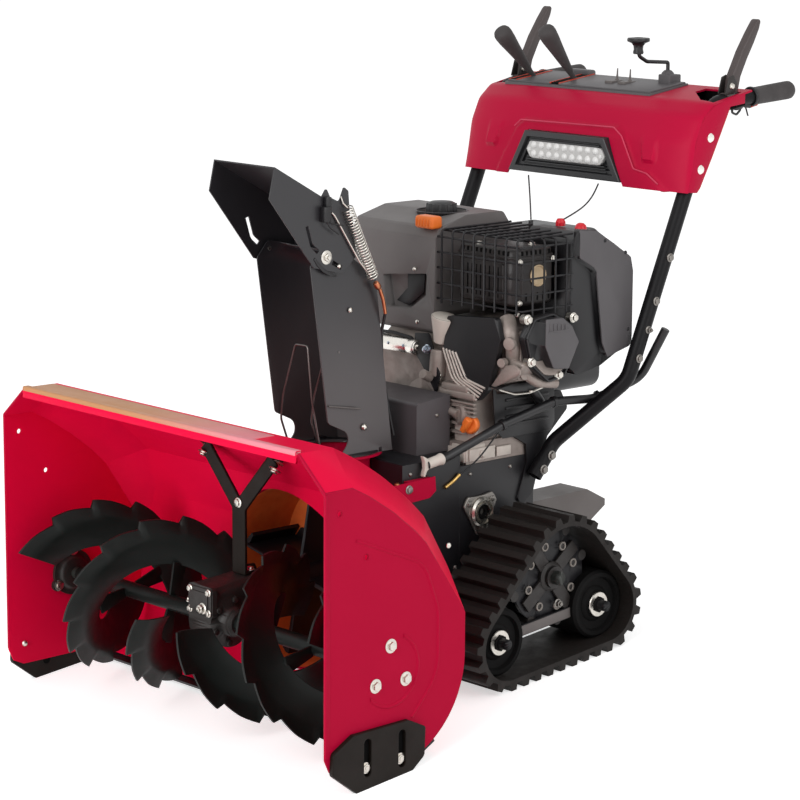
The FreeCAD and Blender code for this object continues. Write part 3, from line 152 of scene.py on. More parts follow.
@dataclass(frozen=True)
class Finish:
    """A surface with a mottled colour, an uneven gloss, a fine relief and eased edges.

    Pattern sizes are in millimetres and are measured on the piece itself.
    """

    name: str
    slot: str
    colour: str
    shade: str
    roughness: float
    roughness_spread: float = 0.08
    metallic: float = 0.0
    mottle: float = 60.0
    grain: float = 2.0
    relief: float = 0.1
    specular: float = 0.5
    edge: float = 0.0

    def build(self) -> bpy.types.Material:
        """Make the Blender material.

        Returns:
            The material, which is made once for each name.
        """
        made = bpy.data.materials.get(self.name)
        if made is not None:
            return made
        made = bpy.data.materials.new(self.name)
        made.use_nodes = True
        tree = made.node_tree
        tree.nodes.clear()
        out = add_node(tree, "ShaderNodeOutputMaterial")
        shader = add_node(tree, "ShaderNodeBsdfPrincipled",
                          values={"Metallic": self.metallic, "Specular IOR Level": self.specular})
        tree.links.new(shader.outputs["BSDF"], out.inputs["Surface"])
        place = add_node(tree, "ShaderNodeTexCoord").outputs["Object"]
        clouds = add_node(
            tree,
            "ShaderNodeTexNoise",
            values={"Scale": 1 / (self.mottle * MM), "Detail": 6.0, "Roughness": 0.6},
            links={"Vector": place},
        ).outputs["Fac"]
        tree.links.new(self.tint(tree, place, clouds), shader.inputs["Base Color"])
        self.gloss(tree, shader, clouds)
        self.emboss(tree, shader, place)
        return made

    def tint(self, tree: bpy.types.NodeTree, place: bpy.types.NodeSocket,
             clouds: bpy.types.NodeSocket) -> bpy.types.NodeSocket:
        """Mix the two colours by the clouds.

        Args:
            tree: the material's node tree.
            place: the piece's own coordinates, in metres.
            clouds: the soft noise.

        Returns:
            The socket that carries the colour.
        """
        mix = add_node(
            tree,
            "ShaderNodeMix",
            settings={"data_type": "RGBA"},
            values={6: linear(self.colour), 7: linear(self.shade)},
            links={0: clouds},
        )
        return mix.outputs[2]

    def gloss(self, tree: bpy.types.NodeTree, shader: bpy.types.Node,
              clouds: bpy.types.NodeSocket) -> None:
        """Vary the roughness with the clouds.

        Args:
            tree: the material's node tree.
            shader: its principled shader.
            clouds: the soft noise.
        """
        spread = add_node(
            tree,
            "ShaderNodeMapRange",
            values={
                "From Min": 0.3,
                "From Max": 0.7,
                "To Min": max(0.02, self.roughness - self.roughness_spread),
                "To Max": min(1.0, self.roughness + self.roughness_spread),
            },
            links={"Value": clouds},
        )
        tree.links.new(spread.outputs["Result"], shader.inputs["Roughness"])

    def emboss(self, tree: bpy.types.NodeTree, shader: bpy.types.Node,
               place: bpy.types.NodeSocket) -> None:
        """Raise a fine grain, and ease the edges where the finish is thick.

        Args:
            tree: the material's node tree.
            shader: its principled shader.
            place: the piece's own coordinates, in metres.
        """
        grit = add_node(
            tree,
            "ShaderNodeTexNoise",
            values={"Scale": 1 / (self.grain * MM), "Detail": 3.0},
            links={"Vector": place},
        )
        bump = add_node(
            tree,
            "ShaderNodeBump",
            values={"Strength": self.relief, "Distance": self.grain * MM * 0.3},
            links={"Height": grit.outputs["Fac"]},
        )
        if self.edge:
            eased = add_node(tree, "ShaderNodeBevel", settings={"samples": 4},
                             values={"Radius": self.edge * MM})
            tree.links.new(eased.outputs["Normal"], bump.inputs["Normal"])
        tree.links.new(bump.outputs["Normal"], shader.inputs["Normal"])


@dataclass(frozen=True)
class BlendedFinish(Finish):
    """A finish whose colour runs into an end colour towards one end of the piece; on the rolled lip the
    blend is a painted highlight.
    """

    end_colour: str = "#C28C62"
    along: str = "X"
    blend_from: float = 300.0
    blend_to: float = -120.0

    def tint(self, tree: bpy.types.NodeTree, place: bpy.types.NodeSocket,
             clouds: bpy.types.NodeSocket) -> bpy.types.NodeSocket:
        """Run the colour into the end colour along the piece.

        Args:
            tree: the material's node tree.
            place: the piece's own coordinates, in metres.
            clouds: the soft noise.

        Returns:
            The socket that carries the colour.
        """
        own_tint = super().tint(tree, place, clouds)
        split = add_node(tree, "ShaderNodeSeparateXYZ", links={"Vector": place})
        blend_share = add_node(
            tree,
            "ShaderNodeMapRange",
            settings={"interpolation_type": "SMOOTHSTEP"},
            values={"From Min": self.blend_from * MM, "From Max": self.blend_to * MM},
            links={"Value": split.outputs[self.along]},
        )
        mix = add_node(
            tree,
            "ShaderNodeMix",
            settings={"data_type": "RGBA"},
            values={7: linear(self.end_colour)},
            links={0: blend_share.outputs["Result"], 6: own_tint},
        )
        return mix.outputs[2]


# Baked enamel over pressed steel: deep crimson, smooth, with a faint orange-peel ripple.
RED_ENAMEL = Finish("crimson_baked_enamel", "red_paint", "#B80836", "#AA0730", 0.45, 0.05, mottle=220,
                    grain=9, relief=0.05, specular=0.06, edge=1.2)
# The same enamel on the wrapper, its lip and the right side plate, painted brighter as painted light.
PAINTED_LIGHT_ENAMEL = Finish("crimson_enamel_painted_light", "red_paint", "#EE0B43", "#DE0A3A", 0.45, 0.05, mottle=220,
                       grain=9, relief=0.05, specular=0.06, edge=1.2)
# The same enamel on the rolled lip, painted pale pink as a highlight, running into a cream painted highlight
# towards its -X end.
LIP_ENAMEL = BlendedFinish("lip_enamel_painted_highlight", "red_paint", "#E8929C", "#DA8490", 0.45, 0.05, mottle=60,
                         grain=6, relief=0.05, specular=0.1)
# Enamel inside the drum, painted bright orange-brown: a painted reflection.
DRUM_REFLECTION_ORANGE = Finish("drum_orange_painted_reflection", "red_paint", "#F07A38", "#C85424", 0.6, 0.08, mottle=30,
                     grain=3, relief=0.15, specular=0.2)
# Dyed ABS of the console: cherry red, evenly moulded, with a soft sheen.
CONSOLE_PLASTIC = Finish("cherry_moulded_abs", "red_plastic", "#BA0C3A", "#B00A34", 0.42, 0.05,
                         mottle=260, grain=6, relief=0.03, specular=0.1, edge=0.8)
# The same ABS on thin edges, where light shines through and turns it orange.
EDGE_PLASTIC = Finish("thin_edge_abs", "red_plastic", "#CC4A2E", "#B5382A", 0.4, 0.05, mottle=40,
                      grain=3, relief=0.05, specular=0.2)
# Moulded bead round the console's raised field: the same dye, painted pale along its crest as a highlight.
BEAD_PLASTIC = Finish("bead_abs_painted_highlight", "red_plastic", "#D04A66", "#C43A56", 0.42, 0.05, mottle=40,
                      grain=3, relief=0.03, specular=0.15)
# Lamp bezel: black ABS with a satin sheen.
BEZEL_PLASTIC = Finish("satin_bezel_abs", "black_plastic", "#2B2B2D", "#222224", 0.4, 0.06, mottle=90,
                       grain=1.4, relief=0.06, specular=0.5, edge=0.8)
# Idler wheels: black nylon dulled by mud.
WHEEL_PLASTIC = Finish("muddy_wheel_nylon", "black_plastic", "#0C0B0B", "#080707", 0.7, 0.08, mottle=40,
                       grain=2, relief=0.1, specular=0.12)
# Glossy red polypropylene of small caps.
RED_CAP = Finish("red_polypropylene", "red_plastic", "#D81E2C", "#C81626", 0.35, 0.05, mottle=60,
                 grain=3, relief=0.04, specular=0.4)
# Powder coat on folded steel: near-black satin with a very fine pebble.
BLACK_POWDER = Finish("black_powder_coat", "black_paint", "#161518", "#100F12", 0.42, 0.07, mottle=90,
                      grain=1.6, relief=0.1, specular=0.3, edge=0.8)
# Powder coat of the chute: the same black, laid thicker, so that it is smoother, and paler towards its foot.
CHUTE_POWDER = BlendedFinish("smooth_black_powder", "black_paint", "#28272A", "#212023", 0.36, 0.06,
                           mottle=160, grain=3, relief=0.04, specular=0.5, edge=1.0, end_colour="#4A4647",
                           along="Z", blend_from=760.0, blend_to=500.0)
# Enamel on the handle tubes: black, with little gloss left.
TUBE_ENAMEL = Finish("black_tube_enamel", "black_paint", "#141315", "#0E0D0F", 0.42, 0.07, mottle=90,
                     grain=2, relief=0.06, specular=0.15)
# Primed steel of the chassis: soft grey, slightly brown.
GREY_STEEL = Finish("grey_primed_steel", "machine_steel", "#6E6866", "#5E5856", 0.5, 0.08, mottle=70,
                    grain=3, relief=0.08, specular=0.35, edge=0.8)
# Skid shoes: thick pressed steel in brown-black paint, rounded by wear.
SHOE_PAINT = Finish("worn_shoe_paint", "black_paint", "#1D1713", "#140F0C", 0.5, 0.1, mottle=45, grain=3,
                    relief=0.15, specular=0.14, edge=3.0)
# Black gloss paint on the chassis plates.
CHASSIS_PAINT = Finish("chassis_gloss_paint", "black_paint", "#1A191C", "#131215", 0.4, 0.08, mottle=150,
                       grain=4, relief=0.05, specular=0.4, edge=1.2)
# Belt cover: dull dark grey paint, browned in patches by heat.
COVER_PAINT = Finish("browned_cover_paint", "black_paint", "#525053", "#474143", 0.5, 0.08, mottle=120,
                     grain=2, relief=0.08, specular=0.35, edge=0.8)
# Painted grey iron: oily brown-black, coarse sand-cast skin.
CAST_IRON = Finish("painted_cast_iron", "dark_cast", "#2C2725", "#1C1918", 0.5, 0.1, mottle=25,
                   grain=2.4, relief=0.5, specular=0.4, edge=0.8)
# Zinc-plated steel: pale, slightly warm metal with soft highlights.
ZINC_STEEL = Finish("zinc_plated_steel", "machine_steel", "#D9D5CD", "#B9B4AC", 0.3, 0.08, metallic=1.0,
                    mottle=9, grain=1.0, relief=0.06)
# Old zinc on flanges and hidden bolts: darker, with white bloom.
DULL_ZINC = Finish("weathered_zinc", "machine_steel", "#8F8B86", "#6E6A66", 0.42, 0.1, metallic=0.9,
                   mottle=12, grain=1.4, relief=0.15)
# Spring steel and plated tube: the brightest metal on the machine.
BRIGHT_SPRING = Finish("bright_spring_steel", "machine_steel", "#F1EDE6", "#E2DDD5", 0.26, 0.04,
                       metallic=1.0, mottle=20, grain=2.0, relief=0.02)
# Blue passivated zinc on the starter's bolts.
BLUED_ZINC = Finish("blue_passivated_zinc", "machine_steel", "#C3CCD6", "#9FAAB8", 0.3, 0.08,
                    metallic=1.0, mottle=8, grain=1.0, relief=0.06)
# Drawn wire, oiled and dark.
DARK_STEEL_WIRE = Finish("oiled_steel_wire", "machine_steel", "#7A7573", "#5E5A58", 0.38, 0.08,
                         metallic=0.8, mottle=15, grain=1.5, relief=0.08)
# Steel tube with its black oxide worn off at the rims.
WORN_STEEL = Finish("worn_oxide_steel", "machine_steel", "#8E8781", "#6A645F", 0.45, 0.1, metallic=0.6,
                    mottle=10, grain=1.5, relief=0.1)
# Steel blued and straw-coloured by exhaust heat.
SCORCHED_STEEL = Finish("scorched_steel", "machine_steel", "#D2BC9C", "#A89070", 0.6, 0.1, metallic=0.0,
                        mottle=14, grain=1.5, relief=0.2)
# Rolled copper and brass of ferrules and studs.
COPPER = Finish("tarnished_copper", "machine_steel", "#C98563", "#A0603F", 0.36, 0.08, metallic=1.0,
                mottle=8, grain=1.0, relief=0.08)
BRASS = Finish("turned_brass", "machine_steel", "#C4A265", "#A5834A", 0.34, 0.08, metallic=1.0, mottle=8,
               grain=1.0, relief=0.06)
# Shaft steel with an oxide skin: dark grey, half matt.
OXIDE_STEEL = Finish("oxide_shaft_steel", "machine_steel", "#3C3E3B", "#2B2D2A", 0.42, 0.1, metallic=0.3,
                     mottle=22, grain=2.0, relief=0.12)
# Die-cast aluminium: warm grey granular metal, dull in its hollows.
CAST_ALUMINIUM = Finish("die_cast_aluminium", "cast_aluminium", "#A1968F", "#80756F", 0.52, 0.1,
                        metallic=0.35, mottle=18, grain=1.8, relief=0.35, edge=1.0)
# The same casting where it is machined or freshly blasted: pale, almost beige.
PALE_CASTING = Finish("blasted_aluminium", "cast_aluminium", "#CFC6BD", "#B9AFA7", 0.55, 0.08,
                      metallic=0.3, mottle=14, grain=1.4, relief=0.25, edge=0.8)
# Injection-moulded polypropylene: charcoal, with a fine spark-eroded grain.
CHARCOAL_PLASTIC = Finish("charcoal_polypropylene", "black_plastic", "#575456", "#4C494B", 0.5, 0.06,
                          mottle=120, grain=1.2, relief=0.1, specular=0.4, edge=1.0)
# Fuel tank: roto-moulded, a lighter, duller and dustier charcoal.
TANK_PLASTIC = Finish("dusty_tank_polyethylene", "black_plastic", "#6C6867", "#5E5A59", 0.52, 0.06,
                      mottle=110, grain=1.6, relief=0.1, specular=0.4, edge=2.5)
# Injection-moulded nylon: black, tighter and glossier than the tank's plastic.
BLACK_PLASTIC = Finish("black_glass_filled_nylon", "black_plastic", "#151417", "#0F0E10", 0.42, 0.06,
                       mottle=70, grain=1.2, relief=0.1, specular=0.45, edge=0.8)
# Clutch paddles: brown-black moulded nylon with a dull sheen.
PADDLE_PLASTIC = Finish("brown_black_nylon", "black_plastic", "#4A4140", "#3C3433", 0.45, 0.06,
                        mottle=80, grain=1.2, relief=0.08, specular=0.4)
# Cream polyacetal of the sleeve nozzle and the intake funnel.
CREAM_PLASTIC = Finish("cream_polyacetal", "black_plastic", "#D6CFC6", "#C9C0B5", 0.45, 0.05, mottle=40,
                       grain=2, relief=0.04, specular=0.4)
# Vents and hollows: flat black without any gloss, painted shade in their openings.
HOLLOW_SHADE = Finish("painted_hollow_shade", "black_paint", "#0B0A0A", "#060606", 0.9, 0.05, mottle=20, grain=1.5, relief=0.1,
              specular=0.1)
# Heat-proof paint on the silencer: flat black, browned in places.
HEAT_PAINT = Finish("heat_proof_paint", "black_paint", "#1B1A1C", "#27201D", 0.42, 0.1, mottle=45,
                    grain=2.0, relief=0.2, specular=0.35, edge=0.8)
# Moulded tread rubber: brown-black and dull, with dust worked into it.
TREAD_RUBBER = Finish("tread_rubber", "track_rubber", "#221D1A", "#141110", 0.62, 0.12, mottle=35,
                      grain=2.2, relief=0.35, specular=0.25, edge=1.2)
# Scuffed black paint on the auger's ribbons: brownish black with a satin sheen.
RIBBON_PAINT = Finish("ribbon_black_paint", "black_paint", "#141816", "#0E1110", 0.42, 0.1, mottle=40,
                      grain=3.0, relief=0.12, specular=0.2, edge=1.4)
# Orange nylon: saturated and smooth.
ORANGE_NYLON = Finish("orange_nylon", "orange_plastic", "#F07E34", "#E06C20", 0.42, 0.05, mottle=30,
                      grain=1.0, relief=0.06, specular=0.35, edge=0.8)
# Foamed rubber: charcoal and soft, almost without gloss.
GRIP_RUBBER = Finish("grip_rubber", "black_plastic", "#474343", "#3B3838", 0.68, 0.06, mottle=20,
                     grain=1.1, relief=0.3, specular=0.3)
# Moulded reflector of the lamp: pale silver, faintly pebbled.
LAMP_REFLECTOR = Finish("frosted_lamp_reflector", "black_plastic", "#D8D6D4", "#C6C4C2", 0.3, 0.05,
                        mottle=6, grain=3.0, relief=0.3, specular=0.5)
# Clear domes over the diodes: nearly white, glossy.
LAMP_DIODE = Finish("clear_diode_dome", "black_plastic", "#F4F3F2", "#E6E4E2", 0.15, 0.03, mottle=6,
                    grain=2.0, relief=0.05, specular=0.6)


def add_object(name: str, data: bpy.types.ID) -> bpy.types.Object:
    """Put an object with its data in the scene.

    Args:
        name: the object's name.
        data: its mesh, curve, camera or lamp.

    Returns:
        The object.
    """
    made = bpy.data.objects.new(name, data)
    bpy.context.scene.collection.objects.link(made)
    return made


def shade(data: bpy.types.Mesh, angle: float) -> None:
    """Shade a mesh smooth, but for its sharp edges.

    Args:
        data: the mesh.
        angle: least angle of a sharp edge, in degrees.
    """
    data.shade_smooth()
    data.set_sharp_from_angle(angle=math.radians(angle))


@dataclass(frozen=True)
class StudioFloor:
    """Pale matt floor, seen as white where nothing shades it."""

    name: str = "white_studio_floor"
    colour: str = "#F2F2F2"
    lift: float = 0.56

    def build(self) -> bpy.types.Material:
        """Make the floor's material.

        Returns:
            The material: matt paint, with a lift that only the camera and reflections see.
        """
        made = bpy.data.materials.new(self.name)
        made.use_nodes = True
        tree = made.node_tree
        tree.nodes.clear()
        matt = add_node(tree, "ShaderNodeBsdfDiffuse", values={"Color": linear(self.colour)})
        seen = white_rays(tree)
        strength = add_node(tree, "ShaderNodeMath", settings={"operation": "MULTIPLY"},
                            values={1: self.lift}, links={0: seen})
        glow = add_node(tree, "ShaderNodeEmission", links={"Strength": strength.outputs[0]})
        both = add_node(tree, "ShaderNodeAddShader", links={0: matt.outputs[0], 1: glow.outputs[0]})
        add_node(tree, "ShaderNodeOutputMaterial", links={"Surface": both.outputs[0]})
        return made


def white_rays(tree: bpy.types.NodeTree) -> bpy.types.NodeSocket:
    """Tell the rays that see a white surround: camera, glossy and transmission ones.

    Args:
        tree: the node tree.

    Returns:
        A socket that is 1 for those rays and 0 for the others.
    """
    path = add_node(tree, "ShaderNodeLightPath")
    first = add_node(tree, "ShaderNodeMath", settings={"operation": "MAXIMUM"},
                     links={0: path.outputs["Is Camera Ray"], 1: path.outputs["Is Transmission Ray"]})
    both = add_node(tree, "ShaderNodeMath", settings={"operation": "MAXIMUM"},
                    links={0: first.outputs[0], 1: path.outputs["Is Glossy Ray"]})
    return both.outputs[0]


@dataclass(frozen=True)
class Studio:
    """Plain floor, plain white surroundings, soft lamps and the camera."""

    azimuth: float = 48.410
    elevation: float = 14.890
    roll: float = -4.244
    lens: float = 130.515
    place: Point = (3.76877, -3.43895, 1.80211)
    floor_half: float = 30.0
    ambient: float = 0.55

    def camera(self) -> None:
        """Make the camera and give it to the scene."""
        data = bpy.data.cameras.new("camera")
        data.lens = self.lens
        data.sensor_width = 36.0
        data.clip_start = 0.1
        data.clip_end = 60.0
        camera = add_object("camera", data)
        turn = Matrix.Rotation(math.radians(self.azimuth), 4, "Z")
        tilt = Matrix.Rotation(math.radians(90 - self.elevation), 4, "X")
        lean = Matrix.Rotation(math.radians(self.roll), 4, "Z")
        camera.matrix_world = Matrix.Translation(self.place) @ turn @ tilt @ lean
        bpy.context.scene.camera = camera

    def lamp(self, name: str, place: Point, size: float, power: float) -> None:
        """Make one square soft lamp aimed at the machine.

        Args:
            name: the lamp's name.
            place: where it hangs, in metres.
            size: its side, in metres.
            power: its power in watts.
        """
        data = bpy.data.lights.new(name, "AREA")
        data.shape = "SQUARE"
        data.size = size
        data.energy = power
        lamp = add_object(name, data)
        toward = Vector((0, 0, 0.5)) - Vector(place)
        facing = toward.to_track_quat("-Z", "Y").to_matrix().to_4x4()
        lamp.matrix_world = Matrix.Translation(place) @ facing

    def surroundings(self) -> None:
        """Make the world: white where it is looked at or mirrored, moderate where it lights the machine."""
        world = bpy.data.worlds.new("white_studio")
        bpy.context.scene.world = world
        world.use_nodes = True
        tree = world.node_tree
        tree.nodes.clear()
        soft = add_node(tree, "ShaderNodeBackground",
                        values={"Color": linear("#FFFFFF"), "Strength": self.ambient})
        white = add_node(tree, "ShaderNodeBackground",
                         values={"Color": linear("#FFFFFF"), "Strength": 1.0})
        mix = add_node(tree, "ShaderNodeMixShader",
                       links={0: white_rays(tree), 1: soft.outputs[0], 2: white.outputs[0]})
        add_node(tree, "ShaderNodeOutputWorld", links={"Surface": mix.outputs[0]})

    def floor(self) -> None:
        """Make the pale floor."""
        mesh = bmesh.new()
        bmesh.ops.create_grid(mesh, x_segments=1, y_segments=1, size=self.floor_half)
        data = bpy.data.meshes.new("floor")
        mesh.to_mesh(data)
        mesh.free()
        floor = add_object("floor", data)
        data.materials.append(StudioFloor().build())

    def build(self) -> None:
        """Make everything that isn't the machine."""
        bpy.context.scene.view_settings.view_transform = "Standard"
        self.camera()
        self.surroundings()
        self.floor()
        self.lamp("key_lamp", (1.2, -4.2, 3.6), 3.0, 80.0)
        self.lamp("side_lamp", (4.4, 0.6, 2.6), 3.0, 75.0)
        self.lamp("low_front_lamp", (0.2, -4.6, 0.8), 2.4, 76.0)


# ---------------------------------------------------------------------------- building meshes
class Head(Enum):
    """Forms of a bolt's head."""

    FLANGE = "hexagon on a flange"
    STUD = "hexagon on a flange, with the end of its stud"
    BUTTON = "low dome"


def spaced(start: float, step: float, count: int) -> Iterator[float]:
    """Give evenly spaced places: count of them, step apart."""
    return (start + index * step for index in range(count))


def around(count: int, first: float = 0.0) -> Iterator[float]:
    """Give the angles, in radians, of count places round a circle, the first one at first degrees."""
    return (math.radians(first + index * 360 / count) for index in range(count))


def polar(radius: float, angle: float, centre: Sequence[float] = (0.0, 0.0)) -> Pair:
    """Find the place at a radius and an angle from a centre."""
    return centre[0] + radius * math.cos(angle), centre[1] + radius * math.sin(angle)


def span(side: int, first: float, second: float) -> Pair:
    """Give two places on one side of the machine, the lower X first."""
    return min(side * first, side * second), max(side * first, side * second)


def middle_of(node: str) -> Vector:
    """Find the middle of a node's box, in metres."""
    low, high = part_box(node)
    return (Vector(low) + Vector(high)) / 2


def aim(at: Sequence[float], axis: Sequence[float]) -> Matrix:
    """Stand +Z along an axis.

    Args:
        at: where the origin goes.
        axis: direction of +Z.

    Returns:
        The matrix of that place.
    """
    return Matrix.Translation(at) @ Vector(axis).to_track_quat("Z", "Y").to_matrix().to_4x4()


class Kit:
    """A mesh that is put together from operators, in the millimetres of one modelling frame."""

    def __init__(self) -> None:
        """Start empty."""
        self.mesh = bmesh.new()

    def add(self, part: bmesh.types.BMesh, place: Optional[Matrix] = None) -> None:
        """Join a part, with its faces turned outwards.

        Args:
            part: the part, which is freed.
            place: matrix that puts it in the modelling frame.
        """
        if place is not None:
            bmesh.ops.transform(part, matrix=place, verts=part.verts)
        bmesh.ops.recalc_face_normals(part, faces=part.faces)
        data = bpy.data.meshes.new("part")
        part.to_mesh(data)
        part.free()
        self.mesh.from_mesh(data)
        bpy.data.meshes.remove(data)

    @staticmethod
    def soften(part: bmesh.types.BMesh, width: float, steps: int = 2) -> None:
        """Round the sharp edges of a part.

        Args:
            part: the part.
            width: bevel width.
            steps: segments across the bevel.
        """
        sharp = [edge for edge in part.edges
                 if len(edge.link_faces) == 2 and edge.calc_face_angle(0.0) > SHARP_ANGLE]
        if sharp and width > 0:
            bmesh.ops.bevel(part, geom=sharp, offset=width, offset_type="OFFSET", segments=steps,
                            profile=0.5, affect="EDGES", material=-1, clamp_overlap=True)

    def rod(self, start: Sequence[float], end: Sequence[float], radius: float, sides: int = 24,
            bevel: float = 0.0) -> None:
        """Add a round or hexagon bar.

        Args:
            start: centre of its first end.
            end: centre of its second end.
            radius: its radius.
            sides: facets round it, or 6 for a hexagon bar.
            bevel: rounding of its rims.
        """
        part = bmesh.new()
        run = Vector(end) - Vector(start)
        bmesh.ops.create_cone(part, cap_ends=True, segments=sides, radius1=radius, radius2=radius,
                              depth=run.length)
        self.soften(part, bevel)
        self.add(part, aim((Vector(start) + Vector(end)) / 2, run))

    @staticmethod
    def spun(profile: Sequence[Pair], sides: int) -> bmesh.types.BMesh:
        """Spin a profile about Z.

        Args:
            profile: radius and height, from one end to the other.
            sides: steps round it.

        Returns:
            The turned part.
        """
        part = bmesh.new()
        ring = [part.verts.new((radius, 0.0, along)) for radius, along in profile]
        edges = [part.edges.new(pair) for pair in zip(ring, ring[1:])]
        bmesh.ops.spin(part, geom=ring + edges, cent=(0, 0, 0), axis=(0, 0, 1), angle=2 * math.pi,
                       steps=sides, use_merge=True)
        bmesh.ops.remove_doubles(part, verts=part.verts, dist=MERGE_DISTANCE)
        return part

    def turned(self, profile: Sequence[Pair], at: Sequence[float], axis: Sequence[float],
               sides: int = 32) -> None:
        """Add a turned part.

        Args:
            profile: radius and distance along the axis, from one end to the other.
            at: foot of the axis.
            axis: its direction.
            sides: steps round it.
        """
        self.add(self.spun(profile, sides), aim(at, axis))

    def slab(self, outline: Sequence[Pair], axis: str, low: float, high: float,
             bevel: float = 0.8, steps: int = 2) -> None:
        """Add a plate of any outline.

        Args:
            outline: corners in the plane across the axis, such as Y and Z for "x".
            axis: "x", "y" or "z".
            low: where the plate starts along the axis.
            high: where it ends.
            bevel: rounding of its edges.
            steps: segments across the rounding.
        """
        part = bmesh.new()
        across = {"x": lambda a, b: (low, a, b), "y": lambda a, b: (a, low, b),
                  "z": lambda a, b: (a, b, low)}
        along = {"x": Vector((1, 0, 0)), "y": Vector((0, 1, 0)), "z": Vector((0, 0, 1))}
        face = part.faces.new([part.verts.new(across[axis](a, b)) for a, b in outline])
        grown = bmesh.ops.extrude_face_region(part, geom=[face])["geom"]
        moved = [item for item in grown if isinstance(item, bmesh.types.BMVert)]
        bmesh.ops.translate(part, verts=moved, vec=along[axis] * (high - low))
        self.soften(part, bevel, steps)
        self.add(part)

    def block(self, low: Sequence[float], high: Sequence[float], bevel: float = 0.8, steps: int = 2,
              place: Optional[Matrix] = None) -> None:
        """Add a block with rounded edges.

        Args:
            low: its lowest corner.
            high: its highest corner.
            bevel: rounding of its edges.
            steps: segments across the rounding.
            place: a further turn or move.
        """
        part = bmesh.new()
        size = Vector(high) - Vector(low)
        bmesh.ops.create_cube(part, size=1.0)
        bmesh.ops.scale(part, vec=size, verts=part.verts)
        bmesh.ops.translate(part, vec=(Vector(low) + Vector(high)) / 2, verts=part.verts)
        self.soften(part, bevel, steps)
        self.add(part, place)

    def wire(self, points: Sequence[Sequence[float]], radius: float, bend: float = 0.0,
             sides: int = 8) -> None:
        """Add a bent wire or rod.

        Args:
            points: the corners of its line, or the points of a curve.
            radius: its radius.
            bend: distance before and after each corner at which it starts to bend, 0 for none.
            sides: facets round it.
        """
        line = [Vector(point) for point in points]
        if bend:
            rounded = [line[0]]
            for before, corner, after in zip(line, line[1:], line[2:]):
                rounded += [corner + (before - corner).normalized() * bend, corner,
                            corner + (after - corner).normalized() * bend]
            line = rounded + [line[-1]]
        data = bpy.data.curves.new("wire", "CURVE")
        data.dimensions = "3D"
        data.bevel_depth = radius
        data.bevel_resolution = max(0, (sides - 4) // 2)
        data.use_fill_caps = True
        data.resolution_u = 3
        spline = data.splines.new("NURBS" if bend else "POLY")
        spline.points.add(len(line) - 1)
        for slot, place in zip(spline.points, line):
            slot.co = (*place, 1.0)
        spline.order_u = 3
        spline.use_endpoint_u = True
        carrier = bpy.data.objects.new("wire", data)
        mesh = bpy.data.meshes.new_from_object(carrier)
        self.mesh.from_mesh(mesh)
        bpy.data.objects.remove(carrier)
        bpy.data.meshes.remove(mesh)
        bpy.data.curves.remove(data)

    def spring(self, start: Sequence[float], end: Sequence[float], radius: float, wire: float,
               turns: int) -> None:
        """Add a coil spring.

        Args:
            start: centre of its first end.
            end: centre of its second end.
            radius: radius of the coil's centre line.
            wire: radius of the wire.
            turns: number of turns.
        """
        run = Vector(end) - Vector(start)
        place = aim(start, run)
        steps = 10 * turns
        points = []
        for step in range(steps + 1):
            angle = 2 * math.pi * turns * step / steps
            points.append(place @ Vector((radius * math.cos(angle), radius * math.sin(angle),
                                          run.length * step / steps)))
        self.wire(points, wire, sides=6)

    def bolt(self, at: Sequence[float], axis: Sequence[float], across: float = 13.0, height: float = 6.0,
             washer: float = 19.0, head: Head = Head.FLANGE) -> None:
        """Add a fastener's head.

        Args:
            at: centre of its seat.
            axis: direction out of the seat.
            across: width of the hexagon over its flats, or diameter of a round head.
            height: height of the head.
            washer: diameter of the flange, which a dome doesn't have.
            head: form of the head.
        """
        seat = Vector(at)
        out = Vector(axis).normalized()
        corner = across / math.sqrt(3)
        if head is Head.BUTTON:
            self.turned([(0, -1), (across / 2, -1), (across / 2, 0.5), (across * 0.36, height * 0.75),
                         (across * 0.15, height), (0, height)], seat, out, sides=20)
            return
        self.turned([(0, -0.5), (washer / 2, -0.5), (washer / 2, 1.0), (across * 0.55, 2.2), (0, 2.2)],
                    seat, out, sides=24)
        self.rod(seat + out, seat + out * height, corner, sides=6, bevel=0.7)
        if head is Head.STUD:
            self.rod(seat + out * height, seat + out * (height + 3.5), across * 0.3, sides=14, bevel=0.5)


@dataclass
class Workshop:
    """Where both modelling frames stand in the part's own frame, and the count of pieces made."""

    pitch: float = 6.0
    axle: Point = (0.0, 670.0, 222.0)
    made: int = 0

    def matrix(self, placing: Placing) -> Matrix:
        """Find the matrix from a modelling frame, in mm, to the part's frame, in metres.

        Args:
            placing: the modelling frame.

        Returns:
            The matrix.
        """
        at = Matrix.Translation(middle_of("drive_axle"))
        if placing is Placing.TRACK:
            return at @ Matrix.Scale(MM, 4)
        turn = Matrix.Rotation(math.radians(-self.pitch), 4, "X")
        return at @ turn @ Matrix.Scale(MM, 4) @ Matrix.Translation(-Vector(self.axle))


